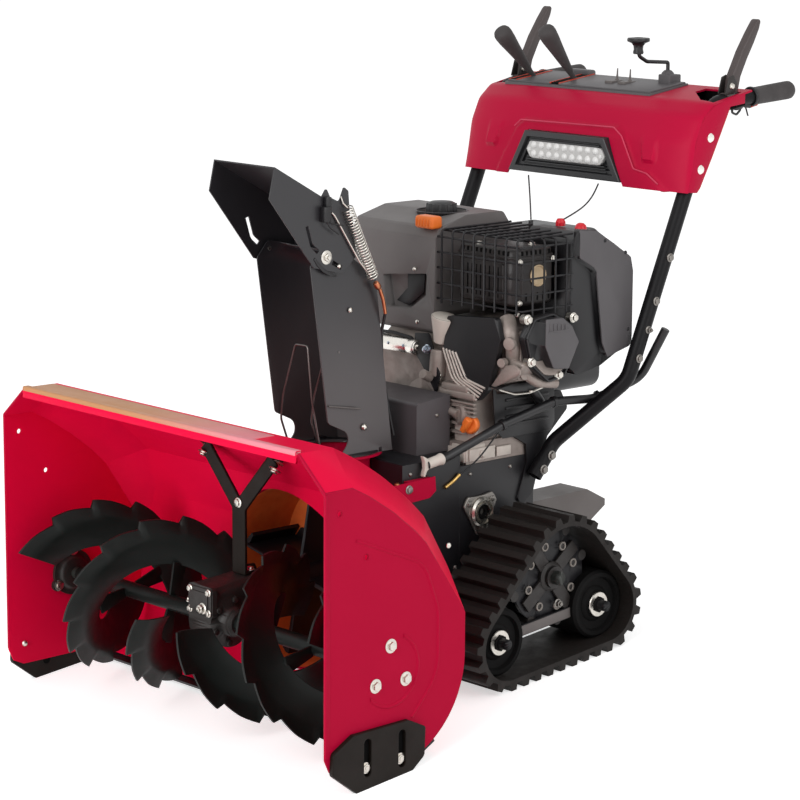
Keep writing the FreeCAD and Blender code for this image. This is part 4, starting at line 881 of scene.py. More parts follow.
# ---------------------------------------------------------------------------- sub-assemblies
@dataclass
class SubAssembly:
    """A group of pieces that is made in one workshop, in one modelling frame and mostly on one body."""

    shop: Workshop
    body: ClassVar[Body] = Body.CHASSIS
    placing: ClassVar[Placing] = Placing.MACHINE

    def place(self, kit: Kit, name: str, finish: Finish, body: Optional[Body] = None,
              replaces: Sequence[str] = (), smooth: float = 35.0,
              across: Optional[tuple[Body, Vector, Vector]] = None) -> None:
        """Turn a kit into a piece that rides on its body.

        Args:
            kit: the mesh, which is freed.
            name: the piece's name.
            finish: its material.
            body: the body that carries it, if it isn't the sub-assembly's own.
            replaces: nodes of the frame that it stands for.
            smooth: angle in degrees under which its faces shade as one surface.
            across: second body, start and end in mm, for a piece that stretches over a joint; these values
                are not used, and such a piece is left on no body.
        """
        matrix = self.shop.matrix(self.placing)
        carrier = body or self.body
        bmesh.ops.transform(kit.mesh, matrix=matrix, verts=kit.mesh.verts)
        data = bpy.data.meshes.new(name)
        kit.mesh.to_mesh(data)
        kit.mesh.free()
        data.materials.append(finish.build())
        shade(data, smooth)
        piece = add_object(name, data)
        if across is None:
            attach(piece, carrier.value)
        else:
            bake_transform(piece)
        if replaces:
            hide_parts(*replaces)
        self.shop.made += 1
        log.info("%s: %d faces on %s", name, len(data.polygons), carrier.value)


@dataclass
class ControlCables(SubAssembly):
    """The three thin cables that hang between the console, the engine and the drive housing."""

    diameter: float = 0.003
    routes: dict[str, tuple[Point, ...]] = field(default_factory=lambda: {
        "throttle_cable": ((-100, 978, 880.2), (-10, 893, 851.5), (73, 812, 827.8)),
        "plug_lead": ((82, 978, 880.2), (103, 946, 867), (126, 902, 853), (142, 858, 843),
                      (152.5, 813, 834)),
        "gear_cable": ((172, 640, 472), (168, 622, 452), (160, 604, 428), (150, 584, 408),
                       (141.8, 563, 394)),
    })

    def run(self, name: str, route: Sequence[Point]) -> None:
        """Lay one cable along its route.

        Args:
            name: the cable's node in the frame.
            route: control points in the machine frame.
        """
        data = bpy.data.curves.new(name, "CURVE")
        data.dimensions = "3D"
        data.bevel_depth = self.diameter / 2
        data.bevel_resolution = 4
        data.use_fill_caps = True
        data.resolution_u = 12
        spline = data.splines.new("NURBS")
        spline.points.add(len(route) - 1)
        place = self.shop.matrix(Placing.MACHINE)
        for slot, point in zip(spline.points, route):
            slot.co = (*(place @ Vector(point)), 1.0)
        spline.order_u = 3
        spline.use_endpoint_u = True
        data.materials.append(BLACK_PLASTIC.build())
        cable = add_object(name + "_sleeve", data)
        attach(cable, Body.CHASSIS.value)
        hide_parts(name)

    def build(self) -> None:
        """Lay every cable."""
        for name, route in self.routes.items():
            self.run(name, route)


@dataclass
class AugerHousing(SubAssembly):
    """Rolled lip, hems, bolts and wear parts of the auger housing."""

    half_width: float = 435.0
    sheet: float = 3.0
    lip_half: float = 369.0
    lip_top: float = 556.6
    bearing_bolts: tuple[Pair, ...] = ((141, 226), (174, 165), (108, 165))
    shaft: Pair = (141.0, 185.0)
    shoe_slots: tuple[float, ...] = (84.0, 159.0)
    shoe_bolt_z: float = 34.0
    brace_x: float = 96.0
    scraper_bolts: int = 8
    scraper_half: float = 380.0
    drum_front: float = 296.0
    drum_z: float = 230.0
    outlet_y: float = 400.0
    outlet_radius: float = 78.0
    outlet_above: float = 300.0

    def lip(self) -> None:
        """Roll the mouth's upper edge over, and hem the two bevelled corners and the sides."""
        kit = Kit()
        top = self.lip_top
        kit.slab([(-4.6, top - 9), (0.6, top - 8.2), (9, top - 8.2), (9, top), (-4.6, top)], "x",
                 -self.lip_half, self.lip_half, bevel=2.2, steps=3)
        kit.slab([(7, top - 6), (62, top - 4.9), (62, top - 3.7), (7, top - 3.2)], "x", -self.lip_half,
                 self.lip_half - 130, bevel=0.3)
        # The lip's pale pink and cream are a painted highlight on the red enamel.
        self.place(kit, "housing_rolled_lip", LIP_ENAMEL)
        face = Kit()
        face.slab([(-4.3, top - 20.5), (0.6, top - 20.5), (0.6, top - 9), (-4.3, top - 9)], "x",
                  -self.lip_half, self.lip_half, bevel=1.6)
        self.place(face, "housing_lip_face", PAINTED_LIGHT_ENAMEL)
        hems = Kit()
        for side in SIDES:
            start = Vector((side * (self.lip_half + 1), 1.5, top - 6))
            corner = Vector((side * (self.half_width - 0.5), 1.5, 495))
            hems.wire([start, corner, (side * (self.half_width - 0.5), 1.5, 66)], 2.6, bend=6, sides=8)
        self.place(hems, "housing_corner_hems", RED_ENAMEL)

    def side_bolts(self) -> None:
        """Bolt the bearings and the lower corners through both side plates."""
        kit = Kit()
        for side in SIDES:
            out = (side, 0, 0)
            for y, z in self.bearing_bolts:
                kit.bolt((side * self.half_width, y, z), out, across=14, height=7, washer=24)
                kit.bolt((side * (self.half_width - 9), y, z), (-side, 0, 0), across=13, height=6,
                         washer=20)
            kit.bolt((side * self.half_width, 268, 372), out, across=9, height=3, head=Head.BUTTON)
            kit.bolt((side * (self.half_width - self.sheet), 34, 68), (-side, 0, 0), across=12, height=4,
                     head=Head.BUTTON)
        self.place(kit, "housing_side_bolts", ZINC_STEEL)
        holes = Kit()
        for side in SIDES:
            for y, z in ((31, 461), (88, 382)):
                holes.turned([(4.6, -0.4), (6.6, -0.4), (6.2, 0.5), (4.6, 0.5), (4.6, -0.4)],
                             (side * self.half_width, y, z), (side, 0, 0), sides=20)
        self.place(holes, "drift_cutter_hole_rims", RED_ENAMEL)

    def shoes(self) -> None:
        """Fasten the skid shoes through their slots."""
        kit = Kit()
        slot_shade = Kit()
        face, z = self.half_width + 9, self.shoe_bolt_z
        for side in SIDES:
            for y in self.shoe_slots:
                kit.turned([(0, 0), (9.5, 0), (9.5, 1.6), (0, 1.6)], (side * (face - 6), y, z),
                           (side, 0, 0), sides=24)
                kit.rod((side * (face - 6), y, z), (side * (face - 1.4), y, z), 7.6, sides=6, bevel=0.8)
                kit.rod((side * (face - 2), y, z), (side * (face - 0.2), y, z), 4.2, sides=16, bevel=0.6)
                low, high = span(side, face - 8.8, face - 7.2)
                slot_shade.block((low, y - 9.5, 18), (high, y + 9.5, 86))
        self.place(kit, "skid_shoe_nuts", ZINC_STEEL)
        # Black blocks behind the slots: painted shade in their openings.
        self.place(slot_shade, "skid_shoe_slot_shade", HOLLOW_SHADE)

    def brace(self) -> None:
        """Bolt the gearbox brace to the wrapper and to the gearbox."""
        kit = Kit()
        for side in SIDES:
            lean = Vector((0, -0.58, -0.81))
            seat = Vector((side * self.brace_x, 184, 455))
            kit.bolt(seat, lean, across=13, height=6, washer=22)
            kit.bolt(seat - lean * 12.5, -lean, across=13, height=6, washer=20)
            kit.bolt((side * 9, 201, 262), (0, 0, 1), across=11, height=5, washer=16)
        kit.bolt((0, self.shaft[0] + 40.5, 382), (0, -1, 0), across=12, height=5, washer=18)
        self.place(kit, "gearbox_brace_bolts", ZINC_STEEL)

    def gearbox(self) -> None:
        """Dress the gearbox's front cover, split flange and filler plug."""
        front = 97.0
        kit = Kit()
        kit.slab([(-31, 199), (31, 199), (31, 247), (-31, 247)], "y", front - 2.5, front + 1, bevel=2.0,
                 steps=3)
        kit.slab([(-24, 206), (24, 206), (24, 240), (-24, 240)], "y", front - 5, front - 2, bevel=1.4)
        for side in SIDES:
            kit.turned([(14.4, 0), (24, 0), (24, 5), (19, 9), (14.4, 9)], (side * 44, *self.shaft),
                       (side, 0, 0))
            for angle in around(6, 20):
                at = polar(38, angle, self.shaft)
                kit.rod((side * 29, *at), (side * 35, *at), 6.2, sides=6, bevel=0.6)
        self.place(kit, "gearbox_cover_and_seals", CAST_IRON)
        bolts = Kit()
        for x in (-25, 25):
            for z in (205, 241):
                bolts.bolt((x, front - 2.5, z), (0, -1, 0), across=9, height=4.5, washer=13)
        bolts.bolt((12, front - 5, 212), (0, -1, 0), across=14, height=8, washer=20, head=Head.STUD)
        self.place(bolts, "gearbox_bolts", ZINC_STEEL)

    def scraper(self) -> None:
        """Bolt the scraper bar on."""
        middle = self.shop.matrix(Placing.MACHINE).inverted() @ middle_of("scraper_bar")
        kit = Kit()
        for x in spaced(-self.scraper_half, 2 * self.scraper_half / (self.scraper_bolts - 1),
                        self.scraper_bolts):
            kit.bolt((x, middle.y + 3, middle.z - 1), (0, 0.47, -0.88), across=12, height=4,
                     head=Head.BUTTON)
        self.place(kit, "scraper_bar_bolts", ZINC_STEEL)

    def drum_painted_reflection(self) -> None:
        """Line the impeller's drum with a sheet whose orange is a painted reflection, and leave its outlet
        open.
        """
        profile = [(159.4, along) for along in spaced(3, 8, 17)] + [(130, 134), (60, 134), (26, 134)]
        part = Kit.spun(profile, 96)
        bmesh.ops.transform(part, matrix=aim((0, self.drum_front, self.drum_z), (0, 1, 0)),
                            verts=part.verts)
        middles = {face: face.calc_center_median() for face in part.faces}
        outlet = [face for face, at in middles.items() if at.z > self.outlet_above
                  and math.hypot(at.x, at.y - self.outlet_y) < self.outlet_radius]
        bmesh.ops.delete(part, geom=outlet, context="FACES")
        bmesh.ops.recalc_face_normals(part, faces=part.faces)
        bmesh.ops.solidify(part, geom=part.faces[:], thickness=0.5)
        kit = Kit()
        kit.add(part)
        self.place(kit, "drum_painted_reflection", DRUM_REFLECTION_ORANGE)

    def build(self) -> None:
        """Make everything on the housing."""
        self.drum_painted_reflection()
        self.lip()
        self.side_bolts()
        self.shoes()
        self.brace()
        self.gearbox()
        self.scraper()


@dataclass
class AugerRibbons(SubAssembly):
    """Cupped ribbons with saw teeth, wound round the auger shaft on flat arms."""

    body: ClassVar[Body] = Body.AUGER
    centre: Pair = (141.0, 185.0)
    tip: float = 155.0
    tooth: float = 15.0
    rise: float = 0.07
    root: float = 119.0
    wall: float = 5.0
    start: float = 156.0
    wrap: float = 340.0
    teeth: int = 12
    outer_x: float = 398.0
    inner_x: float = 58.0
    arms: tuple[float, ...] = (141.0, 261.0)
    sleeve: float = 14.2
    steps_per_tooth: int = 12
    face: tuple[Pair, ...] = ((67, 2), (76, -2.2), (88, -6), (104, -8.8), (118, -10), (126, -9.4),
                              (140, -5), (155, 0))

    def edge(self, share: float) -> float:
        """Radius of the toothed rim: each tooth rises at once and falls away slowly.

        Args:
            share: how far along the ribbon, from 0 at its outer tip to 1.

        Returns:
            The radius in mm.
        """
        place = share * self.teeth
        along = place - math.floor(place) if share < 1 else 1.0
        if along < self.rise and place >= 1:
            return self.tip - self.tooth * (1 - along / self.rise)
        if along < 0.5:
            return self.tip - 0.4 * self.tooth * (along / 0.5)
        return self.tip - self.tooth * (0.4 + 0.6 * (along - 0.5) / 0.5)

    def ribbon(self, kit: Kit, side: int, start: float) -> None:
        """Wind one ribbon.

        Args:
            kit: what it joins.
            side: 1 for the left half, -1 for the right one.
            start: angle of its outer tip.
        """
        part = bmesh.new()
        outline = [(radius, along) for radius, along in self.face]
        outline += [(radius, along - self.wall) for radius, along in reversed(self.face)]
        ring = [part.verts.new((along, radius, 0.0)) for radius, along in outline]
        edges = [part.edges.new(pair) for pair in zip(ring, ring[1:] + ring[:1])]
        steps = self.teeth * self.steps_per_tooth
        advance = (self.inner_x - self.outer_x) / steps
        bmesh.ops.spin(part, geom=ring + edges, cent=(0, 0, 0), axis=(1, 0, 0), dvec=(advance, 0, 0),
                       angle=math.radians(-self.wrap), steps=steps)
        bmesh.ops.holes_fill(part, edges=[edge for edge in part.edges if edge.is_boundary], sides=0)
        bmesh.ops.triangulate(part, faces=[face for face in part.faces if len(face.verts) > 4])
        for vertex in part.verts:
            radius = math.hypot(vertex.co.y, vertex.co.z)
            turned = math.degrees(math.atan2(-vertex.co.z, vertex.co.y)) % 360
            share = 0.0 if turned > self.wrap + 10 else min(1.0, turned / self.wrap)
            weight = max(0.0, (radius - self.root) / (self.tip - self.root))
            grown = radius + (self.edge(share) - self.tip) * weight
            vertex.co.y *= grown / radius
            vertex.co.z *= grown / radius
        turn = Matrix.Rotation(math.radians(start), 4, "X")
        place = Matrix.Translation((self.outer_x, *self.centre)) @ turn
        self.add_half(kit, part, place, side)

    @staticmethod
    def add_half(kit: Kit, part: bmesh.types.BMesh, place: Matrix, side: int) -> None:
        """Add a part of the left half, or its mirror image on the right.

        Args:
            kit: what it joins.
            part: the part.
            place: its place in the left half.
            side: 1 for the left half, -1 for the right one.
        """
        mirror = Matrix.Identity(4) if side > 0 else Matrix.Scale(-1, 4, (1, 0, 0))
        kit.add(part, mirror @ place)

    def arm(self, kit: Kit, side: int, start: float, wound: float) -> None:
        """Weld one arm between the sleeve and a ribbon.

        Args:
            kit: what it joins.
            side: 1 for the left half, -1 for the right one.
            start: angle of the ribbon's outer tip.
            wound: angle from that tip to the arm.
        """
        part = bmesh.new()
        bmesh.ops.create_cube(part, size=1.0)
        bmesh.ops.scale(part, vec=(self.wall, 58, 31), verts=part.verts)
        bmesh.ops.translate(part, vec=(-self.wall / 2, 42, 0), verts=part.verts)
        for vertex in part.verts:
            if vertex.co.y < 42:
                vertex.co.z *= 0.62
        Kit.soften(part, 1.0)
        x = self.outer_x + (self.inner_x - self.outer_x) * wound / self.wrap
        turn = Matrix.Rotation(math.radians(start - wound), 4, "X")
        place = Matrix.Translation((x, *self.centre)) @ turn
        self.add_half(kit, part, place, side)

    def build(self) -> None:
        """Make both halves."""
        for side, name in ((1, "left"), (-1, "right")):
            kit = Kit()
            for start in (self.start, self.start + 180):
                self.ribbon(kit, side, start)
                for wound in self.arms:
                    self.arm(kit, side, start, wound)
            kit.turned([(self.sleeve - 3, 0), (self.sleeve, 0), (self.sleeve, self.outer_x - 45),
                        (self.sleeve - 3, self.outer_x - 45)], (side * 50, *self.centre), (side, 0, 0),
                       sides=36)
            self.place(kit, "auger_ribbons_" + name, RIBBON_PAINT, replaces=["auger_flight_" + name],
                       smooth=32)
        bolts = Kit()
        for side in SIDES:
            bolts.bolt((side * 84, self.centre[0], self.centre[1] + self.sleeve - 0.6), (0, 0, 1),
                       across=11, height=6, washer=15, head=Head.STUD)
        self.place(bolts, "shear_bolts", ZINC_STEEL)


@dataclass
class DischargeChute(SubAssembly):
    """Bolts, wires, spring, clamp and cable of the chute and its deflector."""

    body: ClassVar[Body] = Body.CHUTE
    half: float = 75.0
    cheek: float = 80.5
    pivot: Pair = (312.0, 804.0)

    def deflector(self) -> None:
        """Fasten the deflector and hang its spring hooks."""
        bolts = Kit()
        for side in SIDES:
            bolts.bolt((side * self.cheek, *self.pivot), (side, 0, 0), across=13, height=6, washer=24,
                       head=Head.STUD)
            bolts.bolt((side * (self.cheek - 8.5), *self.pivot), (-side, 0, 0), across=14, height=3,
                       head=Head.BUTTON)
            bolts.bolt((side * self.cheek, 341, 786), (side, 0, 0), across=8, height=3, head=Head.BUTTON)
        self.place(bolts, "deflector_pivot_bolts", ZINC_STEEL, Body.DEFLECTOR)
        clamp = Kit()
        x = self.cheek
        clamp.block((x, 297, 866), (x + 13, 313, 892), bevel=1.5)
        clamp.block((x + 1, 305, 884), (x + 9, 317, 908), bevel=1.5)
        clamp.wire([(x + 8, 305, 868), (x + 9, 312, 856), (x + 8, 334, 842)], 1.2, bend=4)
        clamp.wire([(x + 8, 309, 868), (x + 9, 318, 862), (x + 6, 346, 856)], 1.2, bend=4)
        clamp.slab([(283, 803), (291, 791), (303, 780), (318, 772), (333, 768), (336, 771), (320, 777),
                    (306, 786), (294, 797), (286, 806)], "x", x - 2, x + 1.2, bevel=0.4)
        self.place(clamp, "deflector_cable_clamp", BLACK_PLASTIC, Body.DEFLECTOR)

    def spring(self) -> None:
        """Stretch the return spring down the chute's rear corner, with its cable and crimp."""
        spring = Kit()
        top = Vector((86, 355, 886))
        end = Vector((86, 415, 760))
        spring.spring(top, end, 9.6, 1.2, 27)
        spring.wire([top, top + Vector((-2, -8, 8)), top + Vector((-4, -12, 20))], 1.5, bend=3)
        spring.wire([(83, 322, 880), (84, 328, 874), (85, 384, 790), (86, 410, 762)], 1.7, bend=5)
        self.place(spring, "deflector_spring", ZINC_STEEL, Body.DEFLECTOR, smooth=60,
                   across=(Body.CHUTE, top, end))
        crimp = Kit()
        crimp.turned([(0, 0), (4.5, 0), (6, 4), (6, 10), (4, 14), (0, 14)], (86, 420, 751),
                     (0, 0.6, -0.8), sides=18)
        self.place(crimp, "spring_end_crimp", COPPER)
        sleeve = Kit()
        sleeve.wire([(86, 430, 739), (86, 438, 720), (83, 446, 694)], 3.4, bend=8, sides=12)
        self.place(sleeve, "spring_cable_sleeve", COPPER)
        cable = Kit()
        cable.wire([(83, 446, 696), (70, 449, 660), (60, 459, 590), (64, 476, 500), (66, 482, 470)], 3.0,
                   bend=16, sides=10)
        self.place(cable, "deflector_cable", BLACK_PLASTIC)

    def foot(self) -> None:
        """Dress the chute's foot: guide wires, turning ring, retainers and bolts."""
        bolts = Kit()
        for side in SIDES:
            bolts.bolt((side * self.half, 405, 496), (side, 0, 0), across=12, height=4, head=Head.BUTTON)
            bolts.bolt((side * self.half, 372, 706), (side, 0, 0), across=9, height=2.5,
                       head=Head.BUTTON)
        self.place(bolts, "chute_foot_bolts", ZINC_STEEL)
        ring = Kit()
        ring.turned([(64, 4.2), (81, 4.2), (83, 2.8), (83, 0.6), (79, 0.2), (64, 0.2), (64, 4.2)],
                    (0, 400, 447), (0, 0, 1), sides=64)
        for angle in around(3, 40):
            ring.block((70, -14, 3.5), (87, 14, 11), bevel=1.2,
                       place=Matrix.Translation((0, 400, 444)) @ Matrix.Rotation(angle, 4, "Z"))
        self.place(ring, "chute_turning_ring", BLACK_POWDER)
        pins = Kit()
        for x, y, drop, corners in ((0, 0, 0, 7), (57, 22, 6, 5)):
            pin = [(-66, 352, 452), (-66, 334, 500), (-56, 331, 545), (-17, 326, 640 - drop),
                   (16, 326, 641 - drop), (20, 332, 545), (20, 352, 452)]
            pins.wire([Vector(corner) + Vector((x, y, 0)) for corner in pin[:corners]], 2.0, bend=12)
        pins.rod((74, 323, 543), (79, 392, 531), 1.6, sides=8)
        self.place(pins, "chute_guide_wires", DARK_STEEL_WIRE)

    def build(self) -> None:
        """Make everything on the chute."""
        self.deflector()
        self.spring()
        self.foot()


def rounded_frame(low: Pair, high: Pair, radius: float, steps: int = 5) -> list[Pair]:
    """Work out a rectangle's outline with round corners.

    Args:
        low: its lowest corner.
        high: its highest corner.
        radius: radius of its corners.
        steps: points round each corner, less one.

    Returns:
        The outline's points.
    """
    centres = ((high[0] - radius, high[1] - radius), (low[0] + radius, high[1] - radius),
               (low[0] + radius, low[1] + radius), (high[0] - radius, low[1] + radius))
    return [polar(radius, math.pi / 2 * (quarter + step / steps), centre)
            for quarter, centre in enumerate(centres) for step in range(steps + 1)]


@dataclass
class SilencerUnit(SubAssembly):
    """Silencer box inside its cage of welded wires."""

    low: Point = (62.0, 634.0, 699.0)
    high: Point = (212.0, 736.0, 800.0)
    cage_x: Pair = (30.0, 246.0)
    cage_y: Pair = (617.0, 744.0)
    cage_z: Pair = (690.0, 823.0)
    wire: float = 1.9
    outlet: Pair = (688.0, 752.0)

    def box(self) -> None:
        """Press the silencer's two shells, with their flange and vents."""
        (x0, y0, z0), (x1, y1, z1) = self.low, self.high
        kit = Kit()
        kit.slab(rounded_frame((x0, y0), (x1, y1), 20), "z", z0, z1, bevel=7, steps=4)
        kit.slab(rounded_frame((x0 - 3, y0 - 3), (x1 + 3, y1 + 3), 22), "z", z1 - 17, z1 - 12.5, bevel=1)
        kit.slab(rounded_frame((x0 + 14, z0 + 8), (x1 - 26, z1 - 24), 10), "y", y0 - 3, y0 + 2,
                 bevel=2.2, steps=3)
        kit.slab(rounded_frame((y0 + 16, z0 + 6), (y1 - 12, z1 - 22), 8), "x", x1 - 2, x1 + 2.5, bevel=2)
        self.place(kit, "silencer_box", HEAT_PAINT, replaces=["muffler"])
        # The vents are flat black blocks: painted shade in their openings.
        vents = Kit()
        for x in spaced(x0 + 18, 11.2, 11):
            vents.block((x, y0 - 1, z1 - 11), (x + 5, y0 + 6, z1 - 3), bevel=1.2)
        for y in spaced(y0 + 16, 11, 7):
            vents.block((x1 - 6, y, z1 - 11), (x1 + 0.8, y + 5, z1 - 3), bevel=1.2)
        for y in spaced(y0 + 24, 14, 5):
            vents.block((x1 - 3, y, z0 + 9), (x1 + 3, y + 4.5, z0 + 24), bevel=1.2)
        for x in spaced(x0 + 22, 11, 9):
            vents.block((x, y0 - 3.6, z0 + 14), (x + 3.5, y0, z1 - 32), bevel=1.0)
        self.place(vents, "silencer_vents", HOLLOW_SHADE)
        outlet = Kit()
        outlet.turned([(18, 0), (19.5, 4), (18, 5.4), (16, 3.4), (15.5, 2.4), (0, 2.4)],
                      (x1 + 1, *self.outlet), (1, 0, 0))
        self.place(outlet, "silencer_outlet", SCORCHED_STEEL)
        bolts = Kit()
        for y, z in ((646, 779), (728, 779), (646, 706)):
            bolts.bolt((x1 + 0.5, y, z), (1, 0, 0), across=8, height=4, washer=11)
        bolts.bolt((232, 622, 691), (0.3, -1, 0), across=9, height=5, head=Head.BUTTON)
        for x, y in ((x0 + 40, y0 + 20), (x1 - 36, y1 - 24)):
            bolts.bolt((x, y, z1), (0, 0, 1), across=10, height=5, washer=14)
        self.place(bolts, "silencer_bolts", ZINC_STEEL)

    def cage(self) -> None:
        """Weld the cage: level wires round two sides, and upright wires bent back over the top."""
        kit = Kit()
        front, rear = self.cage_y
        left, right = self.cage_x
        low, top = self.cage_z
        for z in spaced(low + 8, (top - low - 22) / 4, 5):
            kit.wire([(left - 8, front, z), (right, front, z), (right, rear, z)], self.wire, bend=10)
        for x in spaced(left + 16, (right - left - 26) / 7, 8):
            back = rear + 8 if x > 108 else rear + 44
            kit.wire([(x, front - 1.8, low), (x, front - 1.8, top), (x, back, top)], self.wire, bend=16)
        for y in spaced(front + 26, 28, 4):
            kit.wire([(right + 1.8, y, low - 2), (right + 1.8, y, top - 3), (left + 10, y, top - 3)],
                     self.wire, bend=14)
        for y in spaced(front + 13, 28, 3):
            kit.wire([(left + 4, y, top - 3), (right - 14, y, top - 3)], self.wire)
        self.place(kit, "silencer_cage", BLACK_POWDER, replaces=["muffler_guard"])

    def build(self) -> None:
        """Make the silencer and its cage."""
        self.box()
        self.cage()


@dataclass
class EngineDress(SubAssembly):
    """What shows on the engine: caps, starter, cooling duct, castings, rocker cover and intake cover."""

    cap_at: Point = (-45.0, 700.0, 842.0)
    front: float = 600.0
    starter_hub: Pair = (28.0, 688.0)

    def tank(self) -> None:
        """Make the fuel cap with its grip ribs, the neck ring and the tank's screws."""
        at, up = self.cap_at, (0, 0, 1)
        cap = Kit()
        cap.turned([(0, -13), (25, -13), (26, -8), (27, 8), (25.5, 13), (20, 16), (8, 17.5), (0, 17.5)],
                   at, up, sides=40)
        for angle in around(14):
            cap.rod((*polar(25.5, angle, at), at[2] - 11), (*polar(24.8, angle, at), at[2] + 13), 3.4,
                    sides=10, bevel=1.2)
        cap.turned([(28, -14), (40, -14), (43, -10), (38, -11.5), (28, -12)], at, up, sides=40)
        self.place(cap, "fuel_cap_with_ribs", BLACK_PLASTIC, replaces=["fuel_cap"])
        lip = Kit()
        lip.turned([(46.4, -1.4), (47.8, -0.2), (49.6, 0.5), (47.6, 1.0), (45.6, 0.2), (46.4, -1.4)], at,
                   up, sides=56)
        self.place(lip, "tank_well_lip", CHARCOAL_PLASTIC)
        screws = Kit()
        screws.bolt((-19, 609.6, 745), (0, -1, 0), across=8, height=3.5, head=Head.BUTTON)
        for x in (-10, -140):
            screws.bolt((x, 610.6, 650), (0, -1, 0), across=10, height=4.5, head=Head.BUTTON)
        self.place(screws, "tank_screws", ZINC_STEEL)
        # A thin black sheet in the tank's recess: painted shade.
        recess_shade = Kit()
        recess_shade.slab([(-51, 734), (-5, 736), (-8, 702), (-46, 674), (-80, 680), (-51, 706)], "y", 622.5,
                    624.5, bevel=0.4)
        self.place(recess_shade, "tank_recess_painted_shade", BLACK_POWDER)
        knob = Kit()
        knob.turned([(0, 0), (10, 0), (11, 3), (9, 9), (5, 12), (0, 12.5)], (205, 805, 822), (0.1, 0, 1),
                    sides=24)
        self.place(knob, "choke_knob", RED_CAP)

    def starter(self) -> None:
        """Finish the starter motor with its end caps, clamp and bolts."""
        y = self.front - 2
        kit = Kit()
        kit.turned([(0, 0), (10.5, 0), (13.8, 1.5), (14.6, 5), (14.6, 26), (14.2, 27), (14.2, 30),
                    (14.6, 31), (14.6, 92), (14.2, 93), (14.2, 97), (14.8, 98), (14.8, 110), (11, 113.4),
                    (6, 113.6), (5, 117), (0, 117)], (-110, y, 606), (1, 0, 0), sides=40)
        self.place(kit, "starter_motor_shell", BRIGHT_SPRING)
        band = Kit()
        band.wire([(-112, y + 2, 623), (-60, y - 2, 626), (-10, y - 2, 622), (4, y - 2, 604)], 3.2,
                  bend=10, sides=10)
        band.slab([(-4, 632), (30, 636), (36, 630), (62, 560), (52, 527), (28, 560), (2, 590),
                   (-6, 612)], "y", y - 1, y + 3, bevel=1.2)
        self.place(band, "starter_bracket_plate", BLACK_POWDER)
        bolts = Kit()
        bolts.bolt((30, y - 1, 607), (0, -1, 0), across=12, height=7, washer=17, head=Head.STUD)
        for x in (-20, -60):
            bolts.bolt((x, y - 14.4, 608), (0, -1, 0), across=6, height=2, head=Head.BUTTON)
        self.place(bolts, "starter_bolts", BLUED_ZINC)

    def castings(self) -> None:
        """Model the castings that show between the duct and the rocker cover."""
        funnel = Kit()
        lean = Vector((-0.25, 0, -1)).normalized()
        start = Vector((60, 612, 669))
        funnel.turned([(0, 0), (22, 0), (25, 2), (24.6, 6), (15, 40), (13.2, 50), (0, 50)], start, lean,
                      sides=28)
        self.place(funnel, "intake_funnel", CREAM_PLASTIC)
        kit = Kit()
        kit.turned([(0, 0), (15, 0), (15.6, 3), (15, 44), (13, 48), (0, 48)], (44, 609, 560),
                   (0.06, 0, 1), sides=28)
        kit.turned([(0, 0), (9, 0), (9, 20), (0, 20)], (38, 596, 556), (0, -0.4, 0.2), sides=20)
        kit.wire([(188, 640, 676), (206, 630, 656), (214, 632, 630), (208, 640, 606)], 15, bend=12,
                 sides=20)
        kit.turned([(0, 0), (11, 0), (12, 3), (11, 9), (0, 10)], (224, 616, 640), (0.2, -1, 0), sides=22)
        kit.turned([(0, 0), (8, 0), (8, 12), (0, 12)], (206, 618, 604), (0.2, -1, 0), sides=20)
        kit.slab([(150, 560), (172, 548), (236, 584), (246, 604), (214, 612), (184, 598)], "y", 624, 700,
                 bevel=5, steps=3)
        kit.wire([(216, 640, 590), (236, 668, 566), (240, 712, 560)], 9, bend=12, sides=14)
        for z in spaced(522, -7.5, 4):
            kit.block((64, 597, z - 2), (150, 606, z + 1.6), bevel=1.2)
        kit.turned([(0, -12), (17, -12), (19, -6), (19, 0), (15, 3), (0, 3)], (112, 600, 500),
                   (-0.35, -1, 0.1), sides=28)
        kit.wire([(112, 594, 500), (74, 596, 508), (58, 598, 516)], 7, bend=12, sides=14)
        kit.block((62, 598, 528), (150, 612, 540), bevel=3, steps=3)
        kit.block((62, 600, 538), (130, 620, 552), bevel=4, steps=3)
        self.place(kit, "engine_castings", CAST_ALUMINIUM)
        foot = Kit()
        foot.block((100, 590, 415), (139, 640, 448), bevel=4, steps=3)
        foot.slab([(92, 449), (140, 449), (146, 470), (146, 492), (92, 492)], "y", 606, 614, bevel=3)
        self.place(foot, "engine_foot", PALE_CASTING)
        ribs = Kit()
        y = self.front + 3.5
        for k in range(5):
            ribs.wire([(64 + 8 * k, y, 613 - k), (88 + 9 * k, y, 560 + k),
                       (152 + 5 * k, y, 530 + 6 * k)], 2.1, bend=22, sides=8)
        self.place(ribs, "duct_ribs", PALE_CASTING)
        bracket = Kit()
        bracket.slab([(176, 555), (214, 600), (238, 604), (252, 596), (250, 588), (182, 554)], "y", 611,
                     614.5, bevel=1.0)
        self.place(bracket, "lever_bracket", CAST_ALUMINIUM)
        tray = Kit()
        tray.slab([(604, 558), (642, 546), (678, 544), (724, 552), (726, 556), (690, 561), (640, 563)],
                  "x", 150, 206, bevel=2.0)
        self.place(tray, "duct_tray", BLACK_PLASTIC)
        line = Kit()
        line.wire([(207.5, 604, 556.5), (208, 642, 544), (208, 680, 542.5), (207, 724, 550)], 1.8,
                  bend=8)
        line.bolt((207, 683, 545), (0, 0, -1), across=8, height=4, head=Head.BUTTON)
        self.place(line, "tray_edge_wire", ZINC_STEEL)

